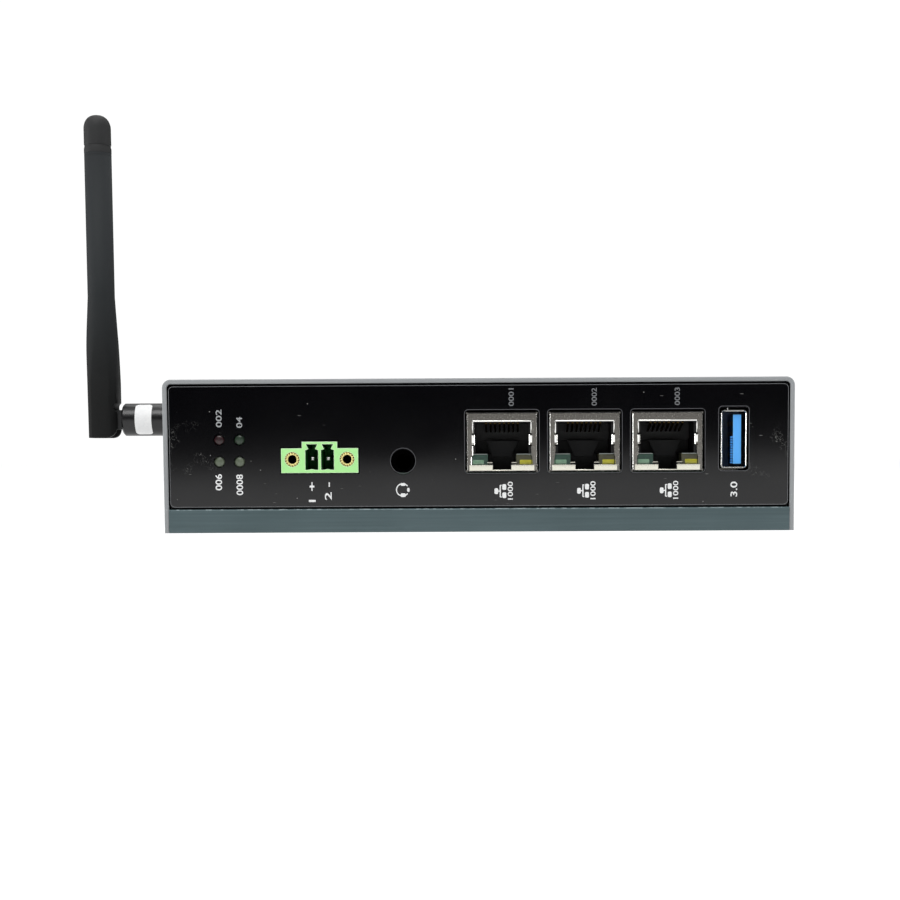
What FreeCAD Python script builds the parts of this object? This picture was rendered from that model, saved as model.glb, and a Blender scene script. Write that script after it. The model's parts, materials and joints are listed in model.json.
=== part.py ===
import FreeCAD, Part
import math
import os
import re
import Sketcher

# Fanless industrial computer in a folded cover on an aluminium heatsink base, with an articulated antenna.
# Frame: X to the right along the front, Y from the front to the back, Z up. The origin is the middle of
# the base's underside. Every length is in millimetres and every angle in degrees.

Vector = FreeCAD.Vector
doc = FreeCAD.newDocument("FanlessComputer")

# ---------------------------------------------------------------- driving dimensions
DIMENSIONS = [
    # casing
    ("case_width", 140.0, "outside width over the cover's sides"),
    ("case_depth", 100.0, "front edge to back edge of the cover"),
    ("case_height", 34.0, "underside of the base to the top of the cover"),
    ("cover_sheet", 1.0, "cover sheet thickness"),
    ("cover_bend", 0.9, "inside radius of the cover's bends"),
    ("edge_break", 0.2, "chamfer on the cover's cut edges"),
    ("base_thickness", 5.65, "base plate, underside to the seat of the end panels"),
    ("lip_step", 0.4, "height of the rebate along the base's end faces"),
    ("lip_depth", 2.6, "depth of the rebate along the base's end faces"),
    ("base_edge", 0.25, "chamfer on the base's end edges"),
    ("panel_gap", 0.25, "gap between an end panel and the cover"),
    ("panel_recess", 0.3, "overlay's face behind the cover's front edge"),
    ("panel_sheet", 1.0, "end panel sheet thickness"),
    ("panel_bend", 0.5, "outside radius of the end panels' bends"),
    ("panel_corner", 0.8, "corner radius of the end panels"),
    ("panel_flange", 8.0, "depth of the end panels' folded flanges"),
    ("overlay_sheet", 0.5, "glossy front overlay thickness"),
    ("port_gap", 0.45, "gap between a port and its cut-out"),
    ("port_corner", 0.9, "corner radius of the port cut-outs"),
    ("header_gap", 0.27, "gap between the power header and its cut-out"),
    # heatsink grooves and mounting holes in the underside
    ("groove_width", 3.5, "heatsink groove width"),
    ("groove_pitch", 7.5, "heatsink groove pitch"),
    ("groove_depth", 2.2, "heatsink groove depth"),
    ("groove_length", 76.0, "heatsink groove length"),
    ("mount_spacing", 75.0, "spacing of the mounting holes, both ways"),
    ("mount_hole_radius", 1.65, "mounting hole, tapped"),
    ("mount_hole_depth", 4.4, "depth of the mounting holes"),
    ("clip_spacing", 50.0, "spacing of the rail clip holes in the rear panel"),
    ("clip_hole_radius", 1.65, "rail clip hole, tapped"),
    ("clip_insert_flats", 7.0, "nut behind the rear panel, over flats"),
    ("clip_insert_length", 3.0, "length of the pressed nut"),
    # fasteners
    ("cover_screw_radius", 1.25, "cover screw shank"),
    ("cover_screw_head", 2.0, "cover screw head radius, countersunk"),
    ("cover_screw_length", 6.0, "cover screw length"),
    ("cover_screw_inset", 18.0, "cover screws from the case's ends"),
    ("panel_screw_radius", 1.0, "flange screw shank"),
    ("panel_screw_head", 1.9, "flange screw head radius"),
    ("panel_screw_rise", 1.3, "flange screw head height"),
    ("panel_screw_reach", 3.6, "flange screw shank length"),
    ("panel_screw_inset", 24.0, "flange screws from the case's sides"),
    ("board_screw_radius", 1.25, "board screw shank"),
    ("board_screw_head", 2.6, "board screw head radius"),
    ("board_screw_rise", 1.8, "board screw head height"),
    ("board_screw_grip", 3.0, "board screw's grip in the base"),
    ("socket_flats", 1.5, "hexagon socket of the screws, over flats"),
    ("socket_depth", 0.8, "depth of the hexagon sockets"),
    ("screw_hole_gap", 0.06, "screw shank to its clearance hole"),
    # board and what stands on it
    ("standoff_height", 6.0, "hexagonal spacer height"),
    ("standoff_flats", 5.5, "hexagonal spacer, over flats"),
    ("board_thickness", 1.6, "main board thickness"),
    ("board_gap", 1.8, "main board to the cover's sides"),
    ("board_front_gap", 0.3, "main board to the end panels"),
    ("board_corner", 2.0, "corner radius of the main board"),
    ("board_hole_inset", 5.5, "board screws from the board's sides"),
    ("board_hole_front", 22.0, "front board screws from the board's front edge"),
    ("board_hole_back", 13.0, "rear board screws from the board's rear edge"),
    ("processor_size", 14.0, "processor package, both ways"),
    ("processor_rise", 1.2, "processor package thickness"),
    ("pad_thickness", 0.5, "thermal pad thickness"),
    ("boss_size", 22.0, "heatsink boss under the processor, both ways"),
    ("memory_length", 13.0, "memory chip length"),
    ("memory_width", 9.0, "memory chip width"),
    ("memory_rise", 1.1, "memory chip thickness"),
    ("memory_offset", 6.0, "memory chips in front of the board's middle"),
    ("part_spacing", 2.0, "spacing of like parts on the board"),
    ("inductor_size", 7.0, "power inductor, both ways"),
    ("inductor_rise", 4.0, "power inductor height"),
    ("inductor_setback", 8.0, "power inductors behind the power header"),
    ("capacitor_length", 7.3, "moulded capacitor length"),
    ("capacitor_width", 4.3, "moulded capacitor width"),
    ("capacitor_rise", 2.8, "moulded capacitor height"),
    ("modem_width", 30.0, "modem card width"),
    ("modem_length", 50.95, "modem card length"),
    ("modem_sheet", 1.0, "modem card thickness"),
    ("modem_rise", 4.0, "modem card above the board"),
    ("modem_shield_rise", 2.2, "modem card screening can height"),
    ("modem_shield_margin", 3.0, "screening can from the card's edges"),
    ("modem_tail", 8.0, "free end of the modem card behind its screening can"),
    ("modem_inset", 16.0, "modem card from the board's left side"),
    ("modem_setback", 3.0, "modem card and card holder from the board's rear edge"),
    ("modem_latch_depth", 5.0, "length of the post that holds the modem card's free end"),
    ("modem_latch_inset", 2.0, "that post from the card's sides"),
    ("socket_length", 8.0, "modem socket length"),
    ("socket_back", 2.0, "modem socket in front of its slot's end"),
    ("socket_lip", 0.8, "modem socket above its card"),
    ("sim_width", 15.0, "card holder width"),
    ("sim_length", 14.0, "card holder length"),
    ("sim_rise", 1.6, "card holder height"),
    ("sim_gap", 6.0, "card holder beside the modem card"),
    ("cell_radius", 10.0, "clock cell radius"),
    ("cell_rise", 3.2, "clock cell thickness"),
    ("cell_inset", 22.0, "clock cell from the board's right side"),
    ("cell_setback", 8.0, "clock cell from the board's rear edge"),
    ("cell_wall", 1.2, "clock cell holder wall"),
    ("cell_floor", 1.0, "clock cell holder floor"),
    ("cell_rim", 2.2, "height of the holder's wall round the cell"),
    # network ports
    ("lan_inset", 64.83, "first network port from the case's right side"),
    ("lan_pitch", 18.37, "pitch of the network ports"),
    ("lan_width", 15.9, "network port width"),
    ("lan_rise", 13.2, "network port height"),
    ("lan_depth", 21.3, "network port depth"),
    ("lan_sheet", 0.3, "network port shield sheet"),
    ("lan_lip", 0.9, "depth of the lips folded into the shield's opening"),
    ("lan_mouth", 12.9, "width of the shield's opening"),
    ("lan_mouth_top", 11.2, "top of the shield's opening above the board"),
    ("lan_lamp_mouth", 13.44, "width of the shield's opening at the lamps"),
    ("lan_sill", 1.55, "sill of the shield's opening above the board"),
    ("lan_relief", 0.42, "corner reliefs of the shield's front"),
    ("lan_shoulder", 0.3, "narrow part of the opening below the plug's floor"),
    ("lip_margin", 0.4, "top lip from the sides of the shield's opening"),
    ("plug_width", 11.9, "plug cavity width"),
    ("plug_floor", 4.05, "plug cavity floor above the board"),
    ("plug_top", 11.0, "plug cavity ceiling above the board"),
    ("plug_depth", 13.5, "plug cavity depth behind the port's face"),
    ("plug_shelf", 7.15, "shelf in the cavity's rear wall above the board"),
    ("plug_shelf_depth", 2.0, "depth of the shelf"),
    ("latch_width", 6.3, "latch channel width"),
    ("latch_floor", 2.15, "latch channel floor above the board"),
    ("latch_slot", 4.08, "latch slot width"),
    ("latch_slot_floor", 0.45, "latch slot floor above the board"),
    ("finger_low", 5.95, "underside of the side contact fingers"),
    ("finger_rise", 2.3, "height of the side contact fingers"),
    ("finger_reach", 0.42, "how far the side contact fingers stand in"),
    ("finger_root", 0.1, "how far they are rooted beside the opening"),
    ("contact_pitch", 1.02, "network contact pitch"),
    ("contact_width", 0.45, "network contact width"),
    ("contact_sheet", 0.3, "network contact thickness"),
    ("contact_length", 7.6, "network contact length along the cavity"),
    ("contact_drop", 2.1, "how far a network contact slopes down"),
    ("contact_start", 1.2, "network contact behind the housing's face"),
    ("contact_foot", 0.8, "flat start of a network contact"),
    ("lamp_front", 0.5, "lamps behind the port's face"),
    ("lamp_length", 6.0, "network port lamp length"),
    ("lamp_fit", 0.05, "network port lamp to its seat"),
    # universal serial bus port, upright
    ("usb_inset", 13.37, "serial port from the case's right side"),
    ("usb_width", 5.8, "serial port width"),
    ("usb_rise", 13.0, "serial port shell height"),
    ("usb_lift", 0.5, "serial port shell above the board"),
    ("usb_depth", 17.0, "serial port depth"),
    ("usb_sheet", 0.35, "serial port shell sheet"),
    ("usb_corner", 0.8, "serial port shell corner radius"),
    ("usb_cavity", 9.0, "depth of the serial port's cavity"),
    ("usb_foot", 2.0, "length of a foot under the serial port"),
    ("tongue_thickness", 1.78, "serial port tongue thickness"),
    ("tongue_rise", 10.9, "serial port tongue width, standing upright"),
    ("tongue_offset", 0.78, "tongue's middle beside the shell's middle"),
    ("tongue_front", 0.9, "tongue behind the shell's face"),
    ("usb_contact_width", 1.0, "serial contact width"),
    ("usb_contact_pitch", 2.3, "serial contact pitch"),
    ("usb_contact_rise", 0.12, "serial contact above the tongue"),
    ("usb_contact_start", 1.0, "serial contact behind the tongue's edge"),
    # power header
    ("header_inset", 34.71, "power header from the case's left side"),
    ("header_width", 17.1, "power header flange width"),
    ("header_rise", 5.45, "power header flange height"),
    ("header_block", 7.85, "power header keyed block width"),
    ("header_block_rise", 6.9, "power header keyed block height"),
    ("header_depth", 9.2, "power header depth"),
    ("header_proud", 0.25, "power header in front of the overlay"),
    ("header_cavity", 7.5, "power header cavity depth"),
    ("header_pitch", 3.5, "power contact pitch"),
    ("window_width", 2.86, "power header window width"),
    ("window_floor", 0.68, "power header window floor"),
    ("window_shoulder", 5.0, "power header window shoulder"),
    ("window_throat", 5.3, "narrowest level of the keyed throat"),
    ("window_top", 6.35, "power header window top"),
    ("window_bump", 0.18, "rise in the middle of a window's floor"),
    ("throat_width", 1.5, "keyed throat width"),
    ("throat_top_width", 2.55, "keyed throat width at its top"),
    ("power_pin_size", 0.9, "square power pin"),
    ("power_pin_level", 3.15, "power pins above the board"),
    ("power_pin_front", 1.6, "power pins behind the header's face"),
    ("insert_spacing", 12.18, "spacing of the header's threaded inserts"),
    ("insert_level", 3.0, "threaded inserts above the board"),
    ("insert_radius", 1.63, "threaded insert radius"),
    ("insert_hole_radius", 0.98, "threaded insert hole"),
    ("insert_length", 6.0, "threaded insert length"),
    # audio socket
    ("audio_share", 0.3824, "share of the free width between header and network ports on the audio's left"),
    ("audio_level", 2.35, "audio socket's axis above the board"),
    ("audio_hole_radius", 2.8, "audio hole in the front"),
    ("audio_bore_radius", 1.8, "audio socket bore"),
    ("audio_bore_depth", 11.0, "audio socket bore depth"),
    ("audio_width", 6.6, "audio socket width"),
    ("audio_rise", 5.2, "audio socket height"),
    ("audio_depth", 12.5, "audio socket depth"),
    # status lamps
    ("lamp_inset", 12.4, "first column of status lamps from the case's left side"),
    ("lamp_spacing", 4.5, "spacing of the two columns"),
    ("lamp_low", 2.52, "lower row of status lamps above the board"),
    ("lamp_row", 4.87, "spacing of the two rows"),
    ("lamp_radius", 1.2, "status lamp radius"),
    ("lamp_hole_gap", 0.06, "status lamp to its hole"),
    ("lamp_window_margin", 1.0, "window in the front panel round the status lamps"),
    ("lamp_recess", 0.1, "status lamp's tip behind the overlay's face"),
    ("lamp_holder_width", 4.2, "status lamp holder width"),
    ("lamp_holder_rise", 9.6, "status lamp holder height"),
    ("lamp_holder_depth", 6.0, "status lamp holder depth"),
    ("lamp_seat", 3.0, "status lamp depth in its holder"),
    ("lamp_seat_gap", 0.2, "status lamp to the walls of its square seat"),
    # antenna connector, along its own axis from the cover's left side
    ("antenna_setback", 20.0, "antenna axis from the case's back edge"),
    ("antenna_drop", 6.8, "antenna axis below the cover's top"),
    ("jack_radius", 3.1, "connector barrel radius"),
    ("jack_reach", 11.0, "connector barrel outside the cover"),
    ("jack_bore", 2.05, "connector bore radius"),
    ("jack_flats", 8.0, "connector hexagon, over flats"),
    ("jack_flange", 2.0, "connector hexagon thickness inside the cover"),
    ("jack_tail", 5.0, "connector tail inside the cover"),
    ("jack_tail_radius", 2.6, "connector tail radius"),
    ("jack_hole_gap", 0.15, "connector barrel to the cover's hole"),
    ("jack_contact_radius", 0.64, "connector centre contact radius"),
    ("jack_contact_bore", 0.5, "connector centre contact bore"),
    ("washer_radius", 4.9, "connector washer radius"),
    ("washer_sheet", 0.6, "connector washer thickness"),
    ("nut_thickness", 2.2, "connector nut thickness"),
    # antenna
    ("sleeve_radius", 4.4, "antenna coupling sleeve radius"),
    ("sleeve_start", 4.0, "coupling sleeve from the cover's side"),
    ("sleeve_gap", 0.05, "coupling sleeve to the connector barrel"),
    ("sleeve_shoulder", 17.0, "shoulder inside the sleeve from the cover's side"),
    ("sleeve_break", 0.45, "chamfer on the sleeve's ends"),
    ("shaft_radius", 2.5, "knuckle shaft radius"),
    ("shaft_gap", 0.08, "knuckle shaft to its bore"),
    ("collar_radius", 2.95, "knuckle collar radius"),
    ("part_gap", 0.3, "free gap between pieces that move past each other"),
    ("plug_pin_radius", 0.44, "antenna plug's centre pin radius"),
    ("plug_pin_reach", 2.4, "antenna plug's centre pin in the connector"),
    ("pivot_reach", 33.3, "fold axis from the cover's side"),
    ("pivot_clear", 5.6, "fold axis to the sleeve's free end"),
    ("hinge_pin_radius", 1.0, "hinge pin radius"),
    ("hinge_pin_length", 7.0, "hinge pin length"),
    ("hinge_pin_gap", 0.04, "hinge pin to the tongue's bore"),
    ("tongue_half", 2.6, "half height of the knuckle's tongue"),
    ("tongue_sheet", 4.0, "thickness of the knuckle's tongue"),
    ("whip_heel", 4.9, "whip's lower end below the fold axis"),
    ("whip_heel_round", 2.8, "rounding of the whip's inner heel"),
    ("whip_flat", 4.15, "whip's axis to its moulded flats"),
    ("whip_root_radius", 4.9, "whip radius at its root"),
    ("whip_root_top", 10.0, "top of the whip's straight root above the fold axis"),
    ("whip_taper_top", 33.0, "top of the whip's taper above the fold axis"),
    ("whip_radius", 3.58, "whip radius above its taper"),
    ("whip_joint", 72.4, "whip's joint with its cap above the fold axis"),
    ("whip_notch", 1.3, "relief where the neck leaves the fork"),
    ("notch_out", 0.455, "that relief's axis outside the whip's flat"),
    ("notch_up", 0.39, "that relief's axis above the fork's crown"),
    ("cap_groove", 0.8, "groove between whip and cap"),
    ("cap_neck", 2.9, "radius inside that groove"),
    ("cap_length", 8.1, "whip cap length above its groove"),
    ("cap_dome", 2.9, "height of the cap's dome"),
    ("cap_crown", 1.5, "radius of the flat on the cap's top"),
    ("cap_shoulder", 3.0, "radius at the dome's shoulder"),
    ("cap_shoulder_drop", 0.9, "shoulder below the cap's top"),
]

sheet = doc.addObject("Spreadsheet::Sheet", "Sizes")
for row, (alias, number, meaning) in enumerate(DIMENSIONS, start=1):
    sheet.set(f"A{row}", meaning)
    sheet.set(f"B{row}", str(number))
    sheet.setAlias(f"B{row}", alias)
doc.recompute()
NUMBERS = {alias: float(sheet.get(alias)) for alias, number, meaning in DIMENSIONS}

GROOVE_COUNT = 8  # heatsink grooves
LAN_PORT_COUNT = 3
LAN_CONTACT_COUNT = 8
USB_CONTACT_COUNT = 4
CAPACITOR_COUNT = 3
PAST = 1.0  # how far a cutting outline runs past its piece
JOINED = 0.01  # how far neighbouring cuts run into each other
CLOSE = 1e-3  # lengths that differ by less are the same
DOME = 0.4  # share of a status lamp's radius that its chamfered tip takes


# ---------------------------------------------------------------- small tools
def sheet_text(text):
    """Point every driving dimension named in an expression at its cell."""
    return re.sub(
        r"[a-z][a-z_]*",
        lambda word: f"Sizes.{word[0]}" if word[0] in NUMBERS else word[0],
        str(text),
    )


def bind(target, **links):
    """Bind properties to expressions; a double underscore stands for a dot."""
    for name, text in links.items():
        target.setExpression(name.replace("__", "."), sheet_text(text))


def put(target, place, turn=None):
    """Place an object; the position stays bound to the sheet."""
    if turn is not None:
        target.Placement = FreeCAD.Placement(Vector(0, 0, 0), turn)
    for axis, text in zip("xyz", place):
        target.setExpression(f"Placement.Base.{axis}", sheet_text(text))
    return target


def start_body(name, place=(0, 0, 0), turn=None):
    made = doc.addObject("PartDesign::Body", name)
    made.Label = name
    return put(made, place, turn)


def start_sketch(body, role, level=0):
    """Attach a sketch to one of the body's own planes, moved along that plane's normal."""
    made = body.newObject("Sketcher::SketchObject", f"{body.Name}_sketch")
    plane = next(item for item in body.Origin.OriginFeatures if item.Role == role)
    made.AttachmentSupport = (plane, [""])
    made.MapMode = "FlatFace"
    made.setExpression("AttachmentOffset.Base.z", sheet_text(level))
    return made


def hold(sketch, kind, where, text):
    """Add a dimension to a sketch and bind it."""
    index = sketch.addConstraint(Sketcher.Constraint(kind, *where, 1.0))
    sketch.setExpression(f"Constraints[{index}]", sheet_text(text))


def polygon(sketch, corners):
    """Draw a closed outline whose corners are each held by two bound dimensions."""
    first = sketch.GeometryCount
    count = len(corners)
    steps = [2 * math.pi * step / count for step in range(count)]
    spots = [Vector(math.cos(step), math.sin(step), 0) for step in steps]
    for index in range(count):
        sketch.addGeometry(Part.LineSegment(spots[index], spots[(index + 1) % count]), False)
    for index in range(count):
        follower = first + (index + 1) % count
        sketch.addConstraint(Sketcher.Constraint("Coincident", first + index, 2, follower, 1))
    for index, (across, up) in enumerate(corners):
        hold(sketch, "DistanceX", (-1, 1, first + index, 1), across)
        hold(sketch, "DistanceY", (-1, 1, first + index, 1), up)


def rectangle(sketch, left, low, right, high):
    polygon(sketch, [(left, low), (right, low), (right, high), (left, high)])


def circle(sketch, across, up, radius):
    index = sketch.addGeometry(Part.Circle(Vector(0, 0, 0), Vector(0, 0, 1), 1), False)
    hold(sketch, "DistanceX", (-1, 1, index, 3), across)
    hold(sketch, "DistanceY", (-1, 1, index, 3), up)
    hold(sketch, "Radius", (index,), radius)


def hexagon(sketch, across_flats, across="0", up="0"):
    """Draw a hexagon about a point of the sketch."""
    reach = f"({across_flats}) / sqrt(3)"
    turns = [f"{60 * step} deg" for step in range(6)]
    corners = [(f"{across} + {reach} * cos({turn})", f"{up} + {reach} * sin({turn})") for turn in turns]
    polygon(sketch, corners)


def feature(body, kind, sketch, length=None, flip=False, middle=False, through=False):
    made = body.newObject(f"PartDesign::{kind}", f"{body.Name}_{kind.lower()}")
    made.Profile = sketch
    made.Reversed = flip
    if middle:
        made.SideType = "Symmetric"
    if through:
        made.Type = "ThroughAll"
    if length is not None:
        bind(made, Length=length)
    doc.recompute()
    return made


def pad(body, sketch, length, **options):
    return feature(body, "Pad", sketch, length, **options)


def pocket(body, sketch, length=None, **options):
    """Cut into the body, and stop if nothing was cut."""
    before = body.Shape.Volume
    made = feature(body, "Pocket", sketch, length, **options)
    if body.Shape.Volume > before - CLOSE:
        raise RuntimeError(f"{made.Name} cuts nothing")
    return made


def revolve(body, sketch, axis="V_Axis", angle=360):
    made = body.newObject("PartDesign::Revolution", f"{body.Name}_revolution")
    made.Profile = sketch
    made.ReferenceAxis = (sketch, [axis])
    made.Angle = angle
    doc.recompute()
    return made


def dress(body, kind, size_name, chosen, amount):
    """Fillet or chamfer the edges that a test picks from the body's present shape."""
    base = body.Tip
    names = [f"Edge{number}" for number, edge in enumerate(base.Shape.Edges, start=1) if chosen(edge)]
    made = body.newObject(f"PartDesign::{kind}", f"{body.Name}_{kind.lower()}")
    made.Base = (base, names)
    bind(made, **{size_name: amount})
    doc.recompute()
    return made


def fillet(body, chosen, amount):
    return dress(body, "Fillet", "Radius", chosen, amount)


def chamfer(body, chosen, amount):
    return dress(body, "Chamfer", "Size", chosen, amount)


def row_pattern(body, original, role, pitch, count):
    made = body.newObject("PartDesign::LinearPattern", f"{body.Name}_pattern")
    axis = next(item for item in body.Origin.OriginFeatures if item.Role == role)
    made.Originals = [original]
    made.Direction = (axis, [""])
    made.Occurrences = count
    bind(made, Length=f"{pitch} * {count - 1}")
    body.Tip = made
    doc.recompute()
    return made


def block(name, low, high):
    """A box from its low corner to its high corner."""
    made = doc.addObject("Part::Box", name)
    made.Label = name
    sizes = [f"({b}) - ({a})" for a, b in zip(low, high)]
    bind(made, Length=sizes[0], Width=sizes[1], Height=sizes[2])
    return put(made, low)


TURNS = {
    "x": FreeCAD.Rotation(Vector(0, 1, 0), 90),
    "y": FreeCAD.Rotation(Vector(1, 0, 0), -90),
    "z": FreeCAD.Rotation(),
}


def rod(name, start, axis, radius, length):
    """A cylinder that grows from its start along the positive axis."""
    made = doc.addObject("Part::Cylinder", name)
    made.Label = name
    bind(made, Radius=radius, Height=length)
    return put(made, start, TURNS[axis])


def fuse(name, pieces):
    made = doc.addObject("Part::MultiFuse", name)
    made.Label = name
    made.Shapes = pieces
    return made


def cut(name, base, tools):
    made = doc.addObject("Part::Cut", name)
    made.Label = name
    made.Base = base
    made.Tool = tools[0] if len(tools) == 1 else fuse(f"{name}_tools", tools)
    return made


def copies(name, original, places):
    """One node of separate, equal solids, set at places read from the sheet's numbers."""
    shapes = []
    for place in places:
        shape = original.Shape.copy()
        shape.Placement = place.multiply(shape.Placement)
        shapes.append(shape)
    made = doc.addObject("Part::Feature", name)
    made.Label = name
    made.Shape = Part.makeCompound(shapes)
    return made


def near(first, second):
    return abs(first - second) < CLOSE


def lies_along(edge, direction):
    """True for a straight edge along a direction."""
    span = edge.lastVertex().Point - edge.firstVertex().Point
    return edge.Length > CLOSE and near(abs(span.dot(direction)), edge.Length)


def is_ring(edge, radius):
    """True for a full circle of a radius."""
    return edge.isClosed() and near(edge.Length, 2 * math.pi * radius)


ALONG_X = Vector(1, 0, 0)
ALONG_Y = Vector(0, 1, 0)
ALONG_Z = Vector(0, 0, 1)
size = NUMBERS
nodes = []


def keep(*made):
    """Mark objects as nodes of the finished part."""
    nodes.extend(made)
    return made[0]


# ---------------------------------------------------------------- levels and lines that pieces share
front = "(-case_depth / 2)"
overlay_face = f"({front} + panel_recess)"
panel_face = f"({overlay_face} + overlay_sheet)"
panel_inside = f"({panel_face} + panel_sheet)"
rear_face = "(case_depth / 2 - panel_recess)"
inside_half = "(case_width / 2 - cover_sheet)"
panel_half = f"({inside_half} - panel_gap)"
panel_top = "(case_height - cover_sheet - panel_gap)"
board_low = "(base_thickness + standoff_height)"
board_top = f"({board_low} + board_thickness)"
board_half = f"({inside_half} - board_gap)"
board_front = f"({panel_inside} + board_front_gap)"
board_back = "(case_depth / 2 - panel_recess - panel_sheet - board_front_gap)"
boss_top = f"({board_low} - processor_rise - pad_thickness)"
lan_middles = [f"(case_width / 2 - lan_inset + {port} * lan_pitch)" for port in range(LAN_PORT_COUNT)]
usb_middle = "(case_width / 2 - usb_inset)"
header_middle = "(-case_width / 2 + header_inset)"
header_right = f"({header_middle} + header_width / 2)"
audio_spare = f"({lan_middles[0]} - lan_width / 2 - {header_right} - audio_width)"
audio_middle = f"({header_right} + audio_share * {audio_spare} + audio_width / 2)"
lamp_columns = [f"(-case_width / 2 + lamp_inset + {column} * lamp_spacing)" for column in range(2)]
lamp_rows = [f"({board_top} + lamp_low + {row} * lamp_row)" for row in range(2)]
side_screw_level = "(base_thickness / 2)"
side_screw_lines = ["(case_depth / 2 - cover_screw_inset)", "(-case_depth / 2 + cover_screw_inset)"]
front_screw_line = f"({panel_inside} + panel_flange / 2)"
rear_screw_line = f"({rear_face} - panel_sheet - panel_flange / 2)"
flange_screw_across = "(case_width / 2 - panel_screw_inset)"
board_hole_across = f"({board_half} - board_hole_inset)"
board_hole_lines = [f"({board_front} + board_hole_front)", f"({board_back} - board_hole_back)"]
antenna_line = "(case_depth / 2 - antenna_setback)"
antenna_level = "(case_height - antenna_drop)"

# The same lines as numbers, for pieces that are copied to their places.
depth_half = size["case_depth"] / 2
width_half = size["case_width"] / 2
board_low_number = size["base_thickness"] + size["standoff_height"]
board_top_number = board_low_number + size["board_thickness"]
inside_number = size["panel_recess"] + size["overlay_sheet"] + size["panel_sheet"]
board_front_number = -depth_half + inside_number + size["board_front_gap"]
board_back_number = depth_half - size["panel_recess"] - size["panel_sheet"] - size["board_front_gap"]
hole_across_number = width_half - size["cover_sheet"] - size["board_gap"] - size["board_hole_inset"]
hole_line_numbers = [
    board_front_number + size["board_hole_front"],
    board_back_number - size["board_hole_back"],
]
flange_line_numbers = [
    -depth_half + inside_number + size["panel_flange"] / 2,
    depth_half - size["panel_recess"] - size["panel_sheet"] - size["panel_flange"] / 2,
]


# ---------------------------------------------------------------- casing
def make_base():
    """Aluminium plate with heatsink grooves below and a boss that reaches the processor."""
    base = start_body("heatsink_base")
    plate = start_sketch(base, "XY_Plane")
    rectangle(plate, f"-{inside_half}", front, inside_half, "case_depth / 2")
    pad(base, plate, "base_thickness")
    for low, high in (
        (f"{front} - {PAST}", f"{front} + lip_depth"),
        ("case_depth / 2 - lip_depth", f"case_depth / 2 + {PAST}"),
    ):
        rebate = start_sketch(base, "YZ_Plane")
        rectangle(rebate, low, "base_thickness - lip_step", high, f"base_thickness + {PAST}")
        pocket(base, rebate, "case_width", middle=True)
    ends = [-depth_half, depth_half]
    chamfer(
        base,
        lambda edge: lies_along(edge, ALONG_X) and any(near(edge.CenterOfMass.y, end) for end in ends),
        "base_edge",
    )
    boss = start_sketch(base, "XY_Plane", "base_thickness")
    rectangle(boss, "-boss_size / 2", "-boss_size / 2", "boss_size / 2", "boss_size / 2")
    pad(base, boss, f"{boss_top} - base_thickness")
    groove = start_sketch(base, "XY_Plane")
    first = f"(-groove_pitch * {GROOVE_COUNT - 1} / 2)"
    half = "groove_width / 2"
    rectangle(groove, f"{first} - {half}", "-groove_length / 2", f"{first} + {half}", "groove_length / 2")
    cutting = pocket(base, groove, "groove_depth", flip=True)
    row_pattern(base, cutting, "X_Axis", "groove_pitch", GROOVE_COUNT)
    under = start_sketch(base, "XY_Plane")
    for across in ("-mount_spacing / 2", "mount_spacing / 2"):
        for along in ("-mount_spacing / 2", "mount_spacing / 2"):
            circle(under, across, along, "mount_hole_radius")
    pocket(base, under, "mount_hole_depth", flip=True)
    studs = start_sketch(base, "XY_Plane", "base_thickness")
    for across in (f"-{board_hole_across}", board_hole_across):
        for along in board_hole_lines:
            circle(studs, across, along, "board_screw_radius")
    for across in (f"-{flange_screw_across}", flange_screw_across):
        for along in (front_screw_line, rear_screw_line):
            circle(studs, across, along, "panel_screw_radius")
    pocket(base, studs, "board_screw_grip")
    for side, flip in ((f"-{inside_half}", True), (inside_half, False)):
        bores = start_sketch(base, "YZ_Plane", side)
        for along in side_screw_lines:
            circle(bores, along, side_screw_level, "cover_screw_radius")
        pocket(base, bores, "cover_screw_length - cover_sheet", flip=flip)
    keep(base)


def make_cover():
    """One folded sheet: the top and both sides, with rounded bends and broken cut edges."""
    cover = start_body("top_cover")
    profile = start_sketch(cover, "XZ_Plane", "case_depth / 2")
    half = "case_width / 2"
    under = "case_height - cover_sheet"
    outside = [(f"-{half}", 0), (f"-{half}", "case_height"), (half, "case_height"), (half, 0)]
    inside = [(inside_half, 0), (inside_half, under), (f"-{inside_half}", under), (f"-{inside_half}", 0)]
    polygon(profile, outside + inside)
    pad(cover, profile, "case_depth", flip=True)
    top = size["case_height"]
    fillet(
        cover,
        lambda edge: lies_along(edge, ALONG_Y) and near(edge.CenterOfMass.z, top),
        "cover_bend + cover_sheet",
    )
    fillet(
        cover,
        lambda edge: lies_along(edge, ALONG_Y) and near(edge.CenterOfMass.z, top - size["cover_sheet"]),
        "cover_bend",
    )
    for side, flip in ((f"-{half}", True), (half, False)):
        bores = start_sketch(cover, "YZ_Plane", side)
        for along in side_screw_lines:
            circle(bores, along, side_screw_level, "cover_screw_radius")
        if flip:
            circle(bores, antenna_line, antenna_level, "jack_radius + jack_hole_gap")
        pocket(cover, bores, "cover_sheet", flip=flip)

    def rim(edge):
        return is_ring(edge, size["cover_screw_radius"]) and near(abs(edge.CenterOfMass.x), width_half)

    chamfer(cover, rim, "cover_screw_head - cover_screw_radius")

    def cut_edge(edge):
        box = edge.BoundBox
        return near(box.YMin, box.YMax) and near(abs(box.YMin), depth_half) and not near(box.ZMax, 0)

    chamfer(cover, cut_edge, "edge_break")
    keep(cover)


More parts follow.
